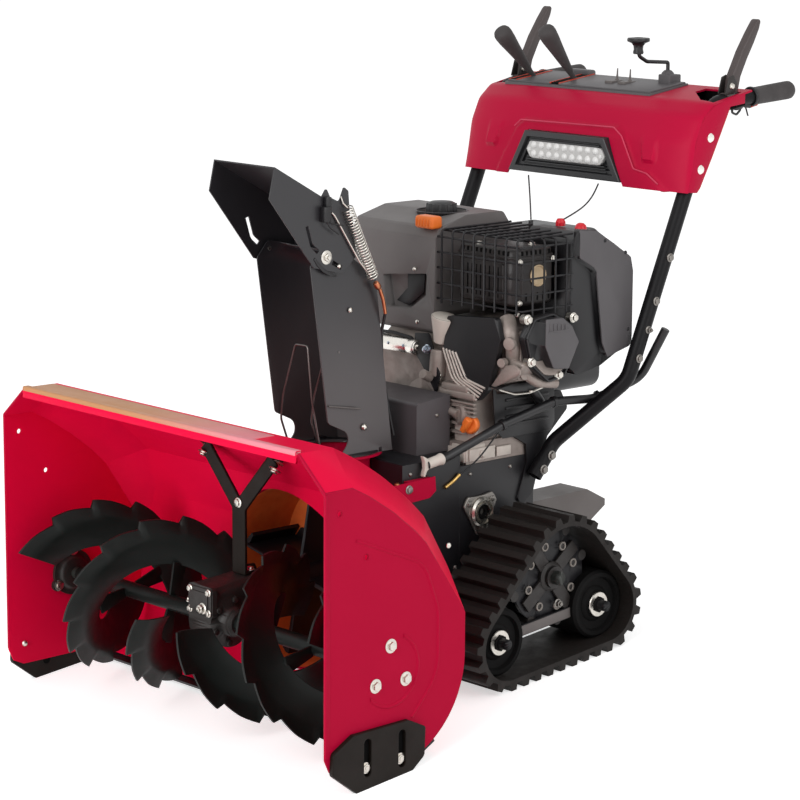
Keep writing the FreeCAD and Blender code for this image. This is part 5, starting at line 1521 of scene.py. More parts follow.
    def caps(self) -> None:
        """Round the orange filler caps off, with flutes for the fingers."""
        kit = Kit()
        kit.block((-12.5, 601.5, 821.5), (33.5, 630, 844.5), bevel=6, steps=4)
        for x in spaced(-8, 7.4, 6):
            kit.block((x, 599.8, 825), (x + 3, 603, 839), bevel=1.2)
        kit.turned([(0, -6), (15, -6), (16.5, -3), (16.5, 4), (14, 7), (0, 7)], (138, 603, 484),
                   (0.25, -1, 0.1), sides=28)
        part_turn = Matrix.Translation((140, 592, 485)) @ Matrix.Rotation(0.6, 4, "Y")
        kit.block((-5, -9, -15), (5, 3, 15), bevel=2.5, steps=3, place=part_turn)
        self.place(kit, "orange_filler_caps", ORANGE_NYLON, replaces=["filler_plugs"])

    def blower(self) -> None:
        """Mould the blower housing with rounded shoulders and a cable stop on its top."""
        kit = Kit()
        outline = rounded_frame((-79, 506), (117, 803), 26, steps=7)
        kit.slab(outline, "y", 801, 959, bevel=9, steps=4)
        kit.block((60, 803, 798), (86, 822, 806), bevel=2)
        kit.rod((73, 812, 800), (73, 812, 825.8), 4.5, sides=16, bevel=1.0)
        self.place(kit, "blower_housing_shell", BLACK_PLASTIC, replaces=["blower_housing"])

    def side_shield(self) -> None:
        """Hang the black shield, partly painted shade for the engine's shaded underside, and the oil line on
        the crankcase's open side.
        """
        kit = Kit()
        kit.slab([(640, 560), (652, 536), (720, 528), (796, 560), (799, 470), (790, 452), (668, 452),
                  (648, 470)], "x", 150.5, 154, bevel=1.4)
        for z in spaced(474, 15, 4):
            kit.block((153, 672, z), (157, 782, z + 5), bevel=1.6)
        kit.wire([(158, 652, 556), (162, 700, 546), (160, 760, 556), (156, 800, 590)], 7, bend=16,
                 sides=16)
        kit.wire([(186, 706, 570), (176, 716, 540), (170, 742, 516), (160, 760, 500)], 9, bend=12,
                 sides=16)
        self.place(kit, "crankcase_shield_and_shade", BLACK_PLASTIC)
        pale = Kit()
        pale.block((60, 588, 416), (136, 592, 442), bevel=1.2)
        for front, rear, top in ((596, 660, 440), (664, 700, 436)):
            pale.block((139, front, 418), (142.5, rear, top), bevel=1.2)
        pale.bolt((143, 628, 428), (1, 0, 0), across=10, height=5, washer=15)
        self.place(pale, "engine_foot_pads", PALE_CASTING)

    def rocker_cover(self) -> None:
        """Add the ribs and bolts of the rocker cover."""
        face = Kit()
        face.slab([(654.5, 683.5), (697, 682.5), (719.5, 665.5), (737.5, 636), (712.5, 590.5),
                   (674.5, 594.5), (653.5, 636)], "x", 268, 271.5, bevel=1.6)
        for index in range(5):
            y = 662 + index * 9.5
            face.block((271, y, 662), (273.2, y + 3, 676 - index * 1.2), bevel=1)
        face.block((271, 660, 659), (272.6, 712, 662), bevel=0.8)
        self.place(face, "rocker_cover_face", CHARCOAL_PLASTIC)
        rim = Kit()
        rim.wire([(252, 626, 650), (252, 644, 681), (252, 690, 687), (252, 738, 660), (252, 744, 622),
                  (252, 720, 575), (252, 681, 569), (252, 640, 602), (252, 626, 650)], 2.6, bend=7,
                 sides=10)
        self.place(rim, "rocker_cover_rim", BLACK_PLASTIC)
        bolts = Kit()
        for y, z in ((628, 684), (638, 608), (706, 578), (742, 676)):
            bolts.turned([(0, 0), (9, 0), (9, 12), (7, 13), (0, 13)], (240, y, z), (1, 0, 0), sides=20)
            bolts.bolt((253, y, z), (1, 0, 0), across=11, height=6, washer=16)
        self.place(bolts, "rocker_cover_bolts", ZINC_STEEL)

    def covers(self) -> None:
        """Clad the intake cover's side and finish the blower housing and rope starter."""
        panel = Kit()
        panel.slab([(757, 830), (798, 826), (843, 800), (889, 771), (895.5, 745), (895.5, 626),
                    (890, 610), (832, 594.5), (818, 622), (800, 752), (793, 760), (757, 780)], "x", 247,
                   251.5, bevel=1.6)
        self.place(panel, "intake_side_panel", CHARCOAL_PLASTIC)
        grille = Kit()
        hub_x, hub_z = self.starter_hub
        centre = Vector((hub_x, 1034, hub_z))
        for angle in around(12):
            out = Vector((math.cos(angle), 0, math.sin(angle)))
            grille.wire([centre + out * 33, centre + out * 52], 1.8, sides=6)
        for radius in (34, 53):
            grille.turned([(radius - 1.6, -2), (radius + 1.6, -2), (radius + 1.6, 1.4),
                           (radius - 1.6, 1.4), (radius - 1.6, -2)], centre, (0, 1, 0), sides=48)
        grille.block((-70, 978, 770), (-38, 1026, 782), bevel=5, steps=3)
        for y in spaced(830, 17, 7):
            grille.block((117.4, y, 640), (119.6, y + 8, 780), bevel=0.8)
        self.place(grille, "rope_starter_grille", BLACK_PLASTIC)
        bolts = Kit()
        for angle in around(3, 30):
            x, z = polar(84, angle, self.starter_hub)
            bolts.bolt((x, 1002, z), (0, 1, 0), across=9, height=4, washer=14)
        for y, z in ((820, 806), (874, 780), (884, 640)):
            bolts.bolt((251, y, z), (1, 0, 0), across=7, height=2.4, head=Head.BUTTON)
        self.place(bolts, "cover_bolts", BLACK_POWDER)

    def build(self) -> None:
        """Make everything that shows on the engine."""
        self.tank()
        self.caps()
        self.blower()
        self.side_shield()
        self.starter()
        self.castings()
        self.rocker_cover()
        self.covers()


def rounded_line(corners: Sequence[tuple[float, ...]]) -> list[Vector]:
    """Round the corners of an open line.

    Args:
        corners: two coordinates each, and a radius where the line bends.

    Returns:
        The points of the line.
    """
    flat = [Vector(corner[:2]) for corner in corners]
    points = [flat[0]]
    for index in range(1, len(flat) - 1):
        radius = corners[index][2] if len(corners[index]) > 2 else 0.0
        before = (flat[index - 1] - flat[index]).normalized()
        after = (flat[index + 1] - flat[index]).normalized()
        if radius == 0:
            points.append(flat[index])
            continue
        half_turn = before.angle(after) / 2
        reach = radius / math.tan(half_turn)
        for share in spaced(0, 1 / BEND_STEPS, BEND_STEPS + 1):
            start = flat[index] + before * reach * (1 - share)
            end = flat[index] + after * reach * share
            points.append(start.lerp(end, share))
    points.append(flat[-1])
    return points


def along_line(points: Sequence[Vector], share: float) -> Vector:
    """Find a point on a line by its share of the length.

    Args:
        points: points of the line.
        share: 0 at its start, 1 at its end.

    Returns:
        The point.
    """
    runs = [(second - first).length for first, second in zip(points, points[1:])]
    left = share * sum(runs)
    for first, second, run in zip(points, points[1:], runs):
        if left <= run:
            return first.lerp(second, left / run if run else 0.0)
        left -= run
    return points[-1]


@dataclass
class ConsoleShell(SubAssembly):
    """Moulded console shell with its raised field round the lamp."""

    half: float = 290.0
    sweep: float = 130.0
    wall: float = 3.6
    raised: float = 5.5
    panel_x: Pair = (-240.0, 140.0)
    panel_y: Pair = (1051.0, 1155.0)
    hole_x: Pair = (196.0, 283.0)
    hole_y: Pair = (1064.0, 1142.0)
    hole_corner: Pair = (252.0, 1112.0)
    front_y: float = 1004.0
    relief_ends: Pair = (1040.0, 1004.0)
    lamp_low: Pair = (147.0, 888.0)
    lamp_high: Pair = (104.0, 968.0)
    screw_holes: tuple[Pair, ...] = ((1028.0, 921.0), (1053.0, 979.0))
    screws: tuple[Pair, ...] = ((1026.0, 921.0), (1051.0, 977.0))
    columns: int = 145
    rows: int = 72
    field_line: tuple[Pair, ...] = (
        (-200.0, 850.0), (-172.0, 905.0), (-137.0, 972.0), (-122.0, 985.0), (118.0, 988.0), (140.0, 974.0),
        (176.0, 917.0), (207.0, 911.0), (233.0, 893.0), (262.0, 870.0))

    @property
    def slant(self) -> float:
        """Slope of the cut corner of the hole that the handle tube comes out of."""
        return (self.hole_corner[1] - self.hole_y[0]) / (self.hole_corner[0] - self.hole_x[0])

    def spread(self, x: float) -> float:
        """How far the section has swept back: 0 in the middle, 1 at an end."""
        past = max(0.0, (abs(x) - self.half + self.sweep) / self.sweep)
        return (1 - (1 - min(1.0, past)) ** (1 / 1.5)) ** 2

    def section(self, x: float) -> list[Vector]:
        """Work out the shell's outline at a station.

        Args:
            x: the station.

        Returns:
            Points of the outline in Y and Z, from its lower front edge over the top.
        """
        s = self.spread(x)
        return rounded_line([(976 + 18 * s, 882 - 2 * s), (978 + 25 * s, 920, 60),
                             (986 + 26 * s, 972, 60), (1012 + 18 * s, 1020 - 8 * s, 44 - 10 * s),
                             (1046 + 14 * s, 1042 - 5 * s, 40 - 14 * s), (1162, 1058)])

    def relief(self, x: float, z: float) -> float:
        """How far the moulded relief stands out of the front.

        Args:
            x: place across.
            z: height.

        Returns:
            The height of the relief in mm.
        """
        line = [Vector(point) for point in self.field_line]
        here = Vector((x, z))
        near = min((self.to_run(here, first, second) for first, second in zip(line, line[1:])), key=abs)
        rise = self.raised * min(1.0, max(0.0, 0.5 + near / 5.0))
        for side in SIDES:
            across = side * x
            low = 176 + (980 - z) * 0.28
            inside = min(1.0, max(0.0, min(across - low, 219 - across) / 3.5))
            if 929 < z < 981 and inside > 0:
                lift = 7.0 * (981 - z) / 45 if z > 936 else 7.0 * (z - 929) / 7
                rise += lift * inside
        return rise

    @staticmethod
    def to_run(here: Vector, first: Vector, second: Vector) -> float:
        """Signed distance from a run of the field's edge, positive on the lamp's side.

        Args:
            here: the place.
            first: start of the run.
            second: its end.

        Returns:
            The distance in mm.
        """
        run = second - first
        share = min(1.0, max(0.0, (here - first).dot(run) / run.length_squared))
        gap = here - (first + run * share)
        side = run.x * (here.y - first.y) - run.y * (here.x - first.x)
        return -math.copysign(gap.length, side)

    def skin(self) -> None:
        """Shape the shell from a grid, cut its openings and give it a wall."""
        part = bmesh.new()
        bmesh.ops.create_grid(part, x_segments=self.columns, y_segments=self.rows, size=1.0)
        sections = {}
        for vertex in part.verts:
            x = vertex.co.x * self.half
            key = round(x, 3)
            if key not in sections:
                sections[key] = self.section(x)
            place = along_line(sections[key], (vertex.co.y + 1) / 2)
            in_front = place.x < self.relief_ends[0] and place.y < self.relief_ends[1]
            rise = self.relief(x, place.y) if in_front else 0.0
            vertex.co = (x, place.x - rise, place.y)
        self.cut_openings(part)
        gone = [face for face in part.faces if self.is_open(face.calc_center_median())]
        bmesh.ops.delete(part, geom=gone, context="FACES")
        bmesh.ops.recalc_face_normals(part, faces=part.faces)
        outward = sum(face.normal.z * face.calc_area() for face in part.faces)
        if outward < 0:
            bmesh.ops.reverse_faces(part, faces=part.faces)
        bmesh.ops.solidify(part, geom=part.faces[:], thickness=self.wall)
        kit = Kit()
        kit.add(part)
        self.end_walls(kit)
        self.place(kit, "console_shell", CONSOLE_PLASTIC, replaces=["dash_shell"], smooth=28)

    def cut_openings(self, part: bmesh.types.BMesh) -> None:
        """Cut the skin along the edges of its openings: the panel, the tube holes and the lamp.

        Args:
            part: the skin.
        """
        cuts = [((x, 0, 0), (1, 0, 0)) for x in self.panel_x]
        cuts += [((0, y, 0), (0, 1, 0)) for y in (*self.panel_y, *self.hole_y)]
        cuts += [((side * x, 0, 0), (1, 0, 0)) for side in SIDES for x in self.hole_x]
        cuts += [((side * self.hole_x[0], self.hole_corner[1], 0), (self.slant, side, 0))
                 for side in SIDES]
        for at, normal in cuts:
            everything = part.verts[:] + part.edges[:] + part.faces[:]
            bmesh.ops.bisect_plane(part, geom=everything, plane_co=at, plane_no=normal)
        (low_x, low_z), (high_x, high_z) = self.lamp_low, self.lamp_high
        corners = [(-low_x, 0, low_z), (-high_x, 0, high_z), (high_x, 0, high_z), (low_x, 0, low_z)]
        for first, second in zip(corners, corners[1:]):
            front = [face for face in part.faces if face.calc_center_median().y < self.front_y]
            everything = list({item for face in front for item in (*face.verts, *face.edges, face)})
            across = Vector(second) - Vector(first)
            bmesh.ops.bisect_plane(part, geom=everything, plane_co=first,
                                   plane_no=across.cross(Vector((0, 1, 0))))

    def is_open(self, at: Vector) -> bool:
        """Whether a place on the skin lies in one of the openings.

        Args:
            at: the place.

        Returns:
            True inside an opening.
        """
        past = abs(at.x) - self.hole_x[0]
        if 0 < past < self.hole_x[1] - self.hole_x[0] and self.hole_y[0] < at.y < self.hole_y[1] \
                and at.y > self.hole_corner[1] - self.slant * past:
            return True
        if self.panel_x[0] < at.x < self.panel_x[1] and self.panel_y[0] < at.y < self.panel_y[1]:
            return True
        (low_x, low_z), (high_x, high_z) = self.lamp_low, self.lamp_high
        half_open = low_x - (at.z - low_z) * (low_x - high_x) / (high_z - low_z)
        return at.y < self.front_y and at.z < high_z and abs(at.x) < half_open

    def end_walls(self, kit: Kit) -> None:
        """Close both ends, with the flange that hugs the handle tube.

        Args:
            kit: what they join.
        """
        outline = [(994, 881), (1001, 914), (1008, 950), (1014, 976), (1024, 1001), (1038, 1019),
                   (1060, 1034), (1098, 1043), (1144, 1053), (1144, 1034), (1104, 1030), (1096, 1016),
                   (1059, 946), (1026, 888), (1018, 879)]
        for side in SIDES:
            kit.slab(outline, "x", *span(side, self.half - 4.2, self.half), bevel=1.2)
            for y, z in self.screw_holes:
                kit.turned([(0, -13), (8, -13), (8, 0), (0, 0)], (side * (self.half - 3), y, z),
                           (side, 0, 0), sides=20)

    def fittings(self) -> None:
        """Screw the ends down and edge the openings."""
        screws = Kit()
        for side in SIDES:
            for y, z in self.screws:
                screws.turned([(0, 0), (8.5, 0), (8.5, 1.2), (6.5, 3.2), (2.6, 3.8), (0, 3.8)],
                              (side * (self.half - 0.3), y, z), (side, 0, 0), sides=24)
        self.place(screws, "console_screws", BRIGHT_SPRING)
        flange = Kit()
        for side in SIDES:
            edge_x = side * (self.half - 1.6)
            edge = ((1102, 1028), (1095, 1014), (1059, 946), (1026, 888), (1018, 880))
            flange.wire([(edge_x, y, z) for y, z in edge], 1.6, bend=5)
        self.place(flange, "console_end_rims", EDGE_PLASTIC)
        # The bead's pale colour is a painted highlight along the field's edge.
        bead = Kit()
        edge = [(x, 976 - self.raised + 26 * self.spread(x) + 0.16 * max(0.0, z - 940), z)
                for x, z in self.field_line[2:-1]]
        bead.wire(edge, 1.3, bend=5)
        self.place(bead, "console_field_bead", BEAD_PLASTIC)
        # Black slabs in the console's hollows: painted shade.
        hollow = Kit()
        for side in SIDES:
            for outline in ([(1058, 1020), (1150, 1034), (1150, 1030), (1058, 1016)],
                            [(1146, 1030), (1146, 1053), (1149, 1053), (1149, 1030)]):
                hollow.slab(outline, "x", *span(side, self.hole_x[0] - 90, self.half - 5), bevel=0.4)
        self.place(hollow, "console_hollows", HOLLOW_SHADE)

    def build(self) -> None:
        """Make the shell and its fittings."""
        self.skin()
        self.fittings()


@dataclass
class WorkLamp(SubAssembly):
    """Lamp bezel with stepped frame, ribs below it, and a reflector with two rows of diodes."""

    front: float = 968.5
    rear: float = 999.0
    low: Pair = (145.0, 889.0)
    high: Pair = (102.0, 967.0)
    diodes: int = 9

    def bezel(self) -> None:
        """Mould the bezel: one slab whose front is inset and pushed in twice."""
        part = bmesh.new()
        outline = [(-self.low[0], self.low[1]), (self.low[0], self.low[1]), (self.high[0], self.high[1]),
                   (-self.high[0], self.high[1])]
        face = part.faces.new([part.verts.new((x, self.rear, z)) for x, z in outline])
        grown = bmesh.ops.extrude_face_region(part, geom=[face])["geom"]
        moved = [item for item in grown if isinstance(item, bmesh.types.BMVert)]
        bmesh.ops.translate(part, verts=moved, vec=(0, self.front - self.rear, 0))
        front = next(item for item in grown if isinstance(item, bmesh.types.BMFace))
        for margin, depth in ((2.0, -1.0), (8.5, 0.0), (2.0, 7.0), (5.0, 0.0), (1.5, 6.0)):
            bmesh.ops.inset_region(part, faces=[front], thickness=margin, use_even_offset=True)
            bmesh.ops.translate(part, verts=front.verts, vec=(0, depth, 0))
        kit = Kit()
        kit.add(part)
        for half, z in zip(spaced(108, -3, 4), spaced(902, 5.2, 4)):
            kit.block((-half, self.front + 3, z), (half, self.front + 14, z + 2.6), bevel=0.8)
        kit.block((-90, self.front + 1, 948), (90, self.front + 14, 952), bevel=1.0)
        self.place(kit, "lamp_bezel", BEZEL_PLASTIC, replaces=["work_light"], smooth=20)

    def lens(self) -> None:
        """Set the reflector and its diodes."""
        y = self.front + 2.5
        body = Kit()
        outline = [(-101, 932), (-92, 947), (-84, 949), (84, 949), (94, 946), (103, 932), (93, 917),
                   (84, 915), (-84, 915), (-92, 918)]
        body.slab(outline, "y", y, y + 10, bevel=2.2, steps=3)
        self.place(body, "lamp_reflector", LAMP_REFLECTOR)
        lights = Kit()
        for row in (923.5, 940.5):
            for x in spaced(-80, 160 / (self.diodes - 1), self.diodes):
                lights.turned([(0, 0), (7, 0), (7.4, 0.8), (5.5, 3), (2.5, 4.4), (0, 4.7)],
                              (x, y + 0.6, row), (0, -1, 0), sides=16)
        for x in (-92, 93):
            lights.turned([(0, 0), (4.5, 0), (3.5, 2), (0, 2.6)], (x, y + 0.6, 932), (0, -1, 0),
                          sides=12)
        self.place(lights, "lamp_diodes", LAMP_DIODE)

    def build(self) -> None:
        """Make the lamp."""
        self.bezel()
        self.lens()


@dataclass
class ConsoleControls(SubAssembly):
    """Panel, shift levers, toggles and the chute's crank."""

    levers: tuple[Pair, ...] = ((-212.0, 1006.0), (-102.0, 1022.0))
    lever_foot: Pair = (1106.0, 1050.0)
    lever_top: float = 1150.0
    toggles: tuple[float, ...] = (-4.0, 29.0)
    crank: Point = (100.0, 1142.0, 1059.0)
    rise: Pair = (14.0, 106.0)
    middle_y: float = 1103.0

    def top(self, y: float) -> float:
        """Height of the panel's surface."""
        return 1047 + (y - 1050) * self.rise[0] / self.rise[1]

    def lying(self, x: float, above: float) -> Matrix:
        """Lay a piece on the middle of the sloping panel.

        Args:
            x: its place across.
            above: how far it stands over the surface.

        Returns:
            The matrix of that place.
        """
        at = Matrix.Translation((x, self.middle_y, self.top(self.middle_y) + above))
        return at @ Matrix.Rotation(math.atan2(*self.rise), 4, "X")

    def panel(self) -> None:
        """Raise the panel's field and cut its two slots."""
        fields = Kit()
        for left, right in ((-236, -122), (-98, 136)):
            part = bmesh.new()
            bmesh.ops.create_cube(part, size=1.0)
            bmesh.ops.scale(part, vec=(right - left, 101, 3.6), verts=part.verts)
            Kit.soften(part, 1.5, 3)
            fields.add(part, self.lying((left + right) / 2, 0.9))
        fields.block((-160, 1140, 1054), (-102, 1162, 1071), bevel=5, steps=4)
        fields.block((-236, 1146, 1054), (-170, 1162, 1063), bevel=3, steps=3)
        fields.block((88, 1128, 1052), (118, 1160, 1076), bevel=2.5, steps=3)
        fields.turned([(0, 0), (13, 0), (11, 5), (7, 9), (4.2, 10), (0, 10)], (100, 1142, 1074),
                      (0, 0, 1), sides=24)
        fields.slab([(1050, 1034), (1156, 1049), (1156, 1060.5), (1050, 1046.5)], "x", -239.5, 139.5,
                    bevel=0.6)
        self.place(fields, "panel_fields", CHARCOAL_PLASTIC, replaces=["dash_panel"])
        # Black blocks in the two slots: painted shade in their openings.
        slot_shade = Kit()
        edges = Kit()
        for x, width in ((-222, 9), (-110, 11)):
            at = self.lying(x, 2.4)
            slot_shade.block((-width, -46, -1), (width, 46, 0.9), bevel=0.4, place=at)
            for side in SIDES:
                low, high = span(side, width - 0.5, width + 2.6)
                edges.block((low, -49, -1), (high, 49, 1.7), bevel=0.6, place=at)
        self.place(slot_shade, "panel_slot_shade", HOLLOW_SHADE)
        self.place(edges, "panel_slot_edges", EDGE_PLASTIC)

    def shifters(self) -> None:
        """Turn the two levers with their fat knobs."""
        kit = Kit()
        for x, y in self.levers:
            foot = Vector((x, *self.lever_foot))
            head = Vector((x, y, self.lever_top))
            kit.turned([(0, 2), (4.8, 2), (5.4, 22), (7.2, 32), (10, 54), (13.6, 86), (16.6, 110),
                        (17.6, 124), (17, 131), (14.5, 136), (9, 139), (0, 140)], foot, head - foot,
                       sides=32)
        self.place(kit, "shift_lever_knobs", GRIP_RUBBER, replaces=["shift_levers"])
        toggles = Kit()
        for x in self.toggles:
            toggles.turned([(0, 0), (5.5, 0), (4.5, 3), (2.6, 5), (1.6, 14), (1.2, 24), (0, 25)],
                           (x, 1115, self.top(1115) + 2), (0, 0.05, 1), sides=14)
            toggles.block((x - 9, 1090, self.top(1090) + 1), (x + 9, 1124, self.top(1115) + 4.4),
                          bevel=1.4)
        self.place(toggles, "panel_toggles", GREY_STEEL)

    def turner(self) -> None:
        """Bend the crank and turn its mushroom knob."""
        x, y, z = self.crank
        kit = Kit()
        kit.wire([(x, y, z), (x, y, 1098), (x, 1084, 1102), (x, 1064, 1112), (x, 1060, 1122)], 3.6,
                 bend=7, sides=14)
        kit.turned([(0, 0), (9, 0), (10, 3), (8.6, 9), (9.4, 15), (13, 20), (20.5, 23), (21.4, 26),
                    (20.2, 29.5), (9, 30.5), (8, 29), (0, 29)], (x, 1060, 1117), (0, 0, 1), sides=40)
        self.place(kit, "chute_crank_with_knob", BLACK_PLASTIC, replaces=["chute_crank"])

    def build(self) -> None:
        """Make every control on the panel."""
        self.panel()
        self.shifters()
        self.turner()


@dataclass
class HandleDress(SubAssembly):
    """Grips, clutch paddles and triggers on the handle tubes."""

    x: float = 268.0
    bend: Point = (268.0, 1078.0, 1036.0)
    tip: Point = (268.0, 1292.0, 1050.0)
    leaf: tuple[Pair, ...] = ((1118, 1052), (1121, 1080), (1133, 1102), (1147, 1128), (1170, 1161),
                              (1185, 1180), (1190, 1184.5), (1195, 1184.5), (1198, 1180), (1194, 1167),
                              (1180, 1141), (1163, 1114), (1146, 1082), (1138, 1050))
    bracket: tuple[Pair, ...] = ((1103, 1052), (1112, 1082), (1124, 1086), (1136, 1070), (1126, 1050))

    def grips(self) -> None:
        """Slip the foam grips on."""
        kit = Kit()
        plain = Kit()
        for side in SIDES:
            start = Vector((side * self.x, *self.bend[1:]))
            end = Vector((side * self.x, *self.tip[1:]))
            along = (end - start).normalized()
            seat = end - along * 102
            kit.turned([(14.05, -4), (16, -4), (17, 0), (17, 2), (16.2, 5), (16.6, 40), (17, 94),
                        (16.6, 100), (14.4, 104), (9, 106.6), (0, 107.4)], seat, along, sides=40)
            plain.turned([(14.05, -9), (17, -9), (18.6, -7), (18.6, -4.5), (14.05, -4)], seat, along,
                         sides=32)
        self.place(kit, "foam_hand_grips", GRIP_RUBBER, replaces=["hand_grips"])
        self.place(plain, "grip_flanges", BLACK_PLASTIC)

    def paddles(self) -> None:
        """Shape the leaf-shaped clutch paddles and their saddles."""
        kit = Kit()
        zinc = Kit()
        plates = Kit()
        start = Vector(self.bend)
        along = (Vector(self.tip) - start).normalized()
        for side in SIDES:
            x = side * self.x
            kit.slab(self.leaf, "x", x - 8.5, x + 8.5, bevel=4, steps=3)
            at = Vector((x, *(start + along * 30).yz))
            kit.turned([(14.1, 0), (16, 0), (16, 22), (14.1, 22), (14.1, 0)], at, along, sides=28)
            for low in (x - 10, x + 7.8):
                plates.slab(self.bracket, "x", low, low + 2.2, bevel=0.8)
            for out in (side, -side):
                zinc.bolt((x + out * 10, 1119, 1066), (out, 0, 0), across=9, height=4, washer=12)
        self.place(kit, "clutch_paddles", PADDLE_PLASTIC, replaces=["clutch_levers"])
        self.place(plates, "paddle_brackets", CAST_IRON)
        self.place(zinc, "paddle_bolts", ZINC_STEEL)

    def triggers(self) -> None:
        """Hang the steering triggers and cable stops under the grips."""
        kit = Kit()
        stop = Kit()
        for side in SIDES:
            x = side * self.x
            kit.slab([(1128, 1030), (1134, 1036), (1156, 1036), (1160, 1030), (1156, 1022),
                      (1140, 1020)], "x", x - 7, x + 7, bevel=3, steps=3)
            guard = ((1132, 1030), (1134, 1016), (1146, 1012), (1156, 1020), (1154, 1031))
            kit.wire([(x, y, z) for y, z in guard], 2.2, bend=4)
            kit.wire([(x, 1166, 1028), (x, 1172, 1022), (x, 1178, 1008)], 1.5, bend=3)
            kit.slab([(1160, 1030), (1186, 1033), (1204, 1038), (1200, 1026), (1180, 1022),
                      (1166, 1024)], "x", x - 4, x + 4, bevel=1.5)
            stop.slab([(1181, 1023), (1199, 1026), (1202, 1034), (1184, 1031)], "x", x - 5.5, x + 5.5,
                      bevel=1.5)
        self.place(kit, "steering_triggers", BLACK_PLASTIC)
        self.place(stop, "trigger_stops", EDGE_PLASTIC)

    def bolts(self) -> None:
        """Bolt the tubes to the console and the brackets."""
        kit = Kit()
        for side in SIDES:
            for y, z in ((883, 590), (925, 690), (959, 766)):
                kit.bolt((side * (self.x + 13.4), y, z), (side, 0, 0), across=11, height=5, washer=16)
            kit.bolt((side * (self.x + 13.6), 905, 640), (side, 0, 0), across=9, height=7, washer=14,
                     head=Head.STUD)
        self.place(kit, "handle_tube_bolts", DULL_ZINC)

    def build(self) -> None:
        """Make everything on the handle tubes."""
        self.grips()
        self.paddles()
        self.triggers()
        self.bolts()


@dataclass
class ChassisDress(SubAssembly):
    """Bearings, bolts and sleeve fittings of the chassis."""

    half: float = 140.0
    bearing: Pair = (622.0, 325.0)
    ears: tuple[int, ...] = (35, 150, 272)

    def bearings(self) -> None:
        """Set the reduction shaft's bearings in their pressed flanges."""
        kit = Kit()
        race = Kit()
        y, z = self.bearing
        face = self.half + 6.5
        for side in SIDES:
            kit.slab(self.flange_outline(), "x", *span(side, self.half, face), bevel=2.2, steps=3)
            race.turned([(14, 2), (27, 2), (27, 9), (24, 13), (21, 13), (20, 9), (18, 9), (17, 12),
                         (14, 12), (14, 2)], (side * (self.half + 2), y, z), (side, 0, 0), sides=40)
            for turn in self.ears:
                at = polar(34, math.radians(turn), self.bearing)
                kit.bolt((side * face, *at), (side, 0, 0), across=9, height=4, washer=12)
        self.place(kit, "shaft_bearing_flanges", DULL_ZINC, replaces=["shaft_bearings"])
        self.place(race, "shaft_bearing_races", ZINC_STEEL)
        # Black caps in the shaft's ends: painted shade in their hollows.
        core = Kit()
        for side in SIDES:
            core.turned([(0, 0), (13.5, 0), (13.5, 8), (11, 10), (6, 10), (6, 4), (0, 4)],
                        (side * (self.half + 1), y, z), (side, 0, 0), sides=28)
        self.place(core, "reduction_shaft_ends", HOLLOW_SHADE)

    def flange_outline(self) -> list[Pair]:
        """Work out the three-eared flange's outline.

        Returns:
            The outline's points in Y and Z.
        """
        return [polar(43 if abs(lean) < 20 else 30, math.radians(turn + lean), self.bearing)
                for turn in self.ears for lean in (-42, -14, -5, 5, 14, 42)]

    def bolts(self) -> None:
        """Bolt the covers, brackets and handle tubes to the chassis."""
        kit = Kit()
        for side in SIDES:
            for x, y, z in ((174, 752, 387), (175.8, 770, 411)):
                kit.bolt((side * x, y, z), (side, 0, 0), across=12, height=6, washer=18)
            for y, z in ((455, 415), (455, 230), (565, 230), (600, 395), (700, 395)):
                kit.bolt((side * self.half, y, z), (side, 0, 0), across=8, height=3, head=Head.BUTTON)
            kit.bolt((side * 153, 440, 392), (side, 0, 0), across=11, height=5, washer=16)
            kit.bolt((side * 95, 560, 500), (side, 0, 0), across=8, height=3, head=Head.BUTTON)
        self.place(kit, "chassis_bolts", DULL_ZINC)
        copper = Kit()
        for side in SIDES:
            copper.bolt((side * 128, 436, 396), (0, -1, 0), across=12, height=6, head=Head.BUTTON)
        self.place(copper, "cover_front_studs", COPPER)

    def sleeve(self) -> None:
        """Fit the control sleeve's nozzle, its ties and the gear cable's ferrule."""
        nozzle = Kit()
        start = Vector((147.2, 482, 428.6))
        along = Vector((1.6, 49, 8)).normalized()
        nozzle.turned([(9.2, 6), (9.4, 34), (10.6, 36), (10.6, 40), (9, 42), (8.4, 42)], start, along,
                      sides=28)
        nozzle.slab([(474, 447), (482, 443), (492, 436), (492, 424), (484, 418), (479, 408), (475, 410),
                     (479, 424), (478, 436)], "x", 143, 153, bevel=2.4, steps=3)
        self.place(nozzle, "sleeve_nozzle", CREAM_PLASTIC)
        ties = Kit()
        for at, along_tie in (((175, 645, 484), (15, 112, 40)), ((189, 760, 513), (15, 105, 10)),
                              ((206, 856, 514), (30, 66, 26))):
            ties.turned([(8.1, -4), (10.2, -3.4), (10.2, 3.4), (8.1, 4)], at, along_tie, sides=24)
        self.place(ties, "sleeve_ties", BLACK_PLASTIC)
        ferrule = Kit()
        ferrule.wire([(144, 570, 399), (142.8, 556, 389), (143, 536, 380)], 3.6, bend=6, sides=12)
        self.place(ferrule, "gear_cable_ferrule", BRASS)

    def build(self) -> None:
        """Make everything on the chassis."""
        self.bearings()
        self.bolts()
        self.sleeve()


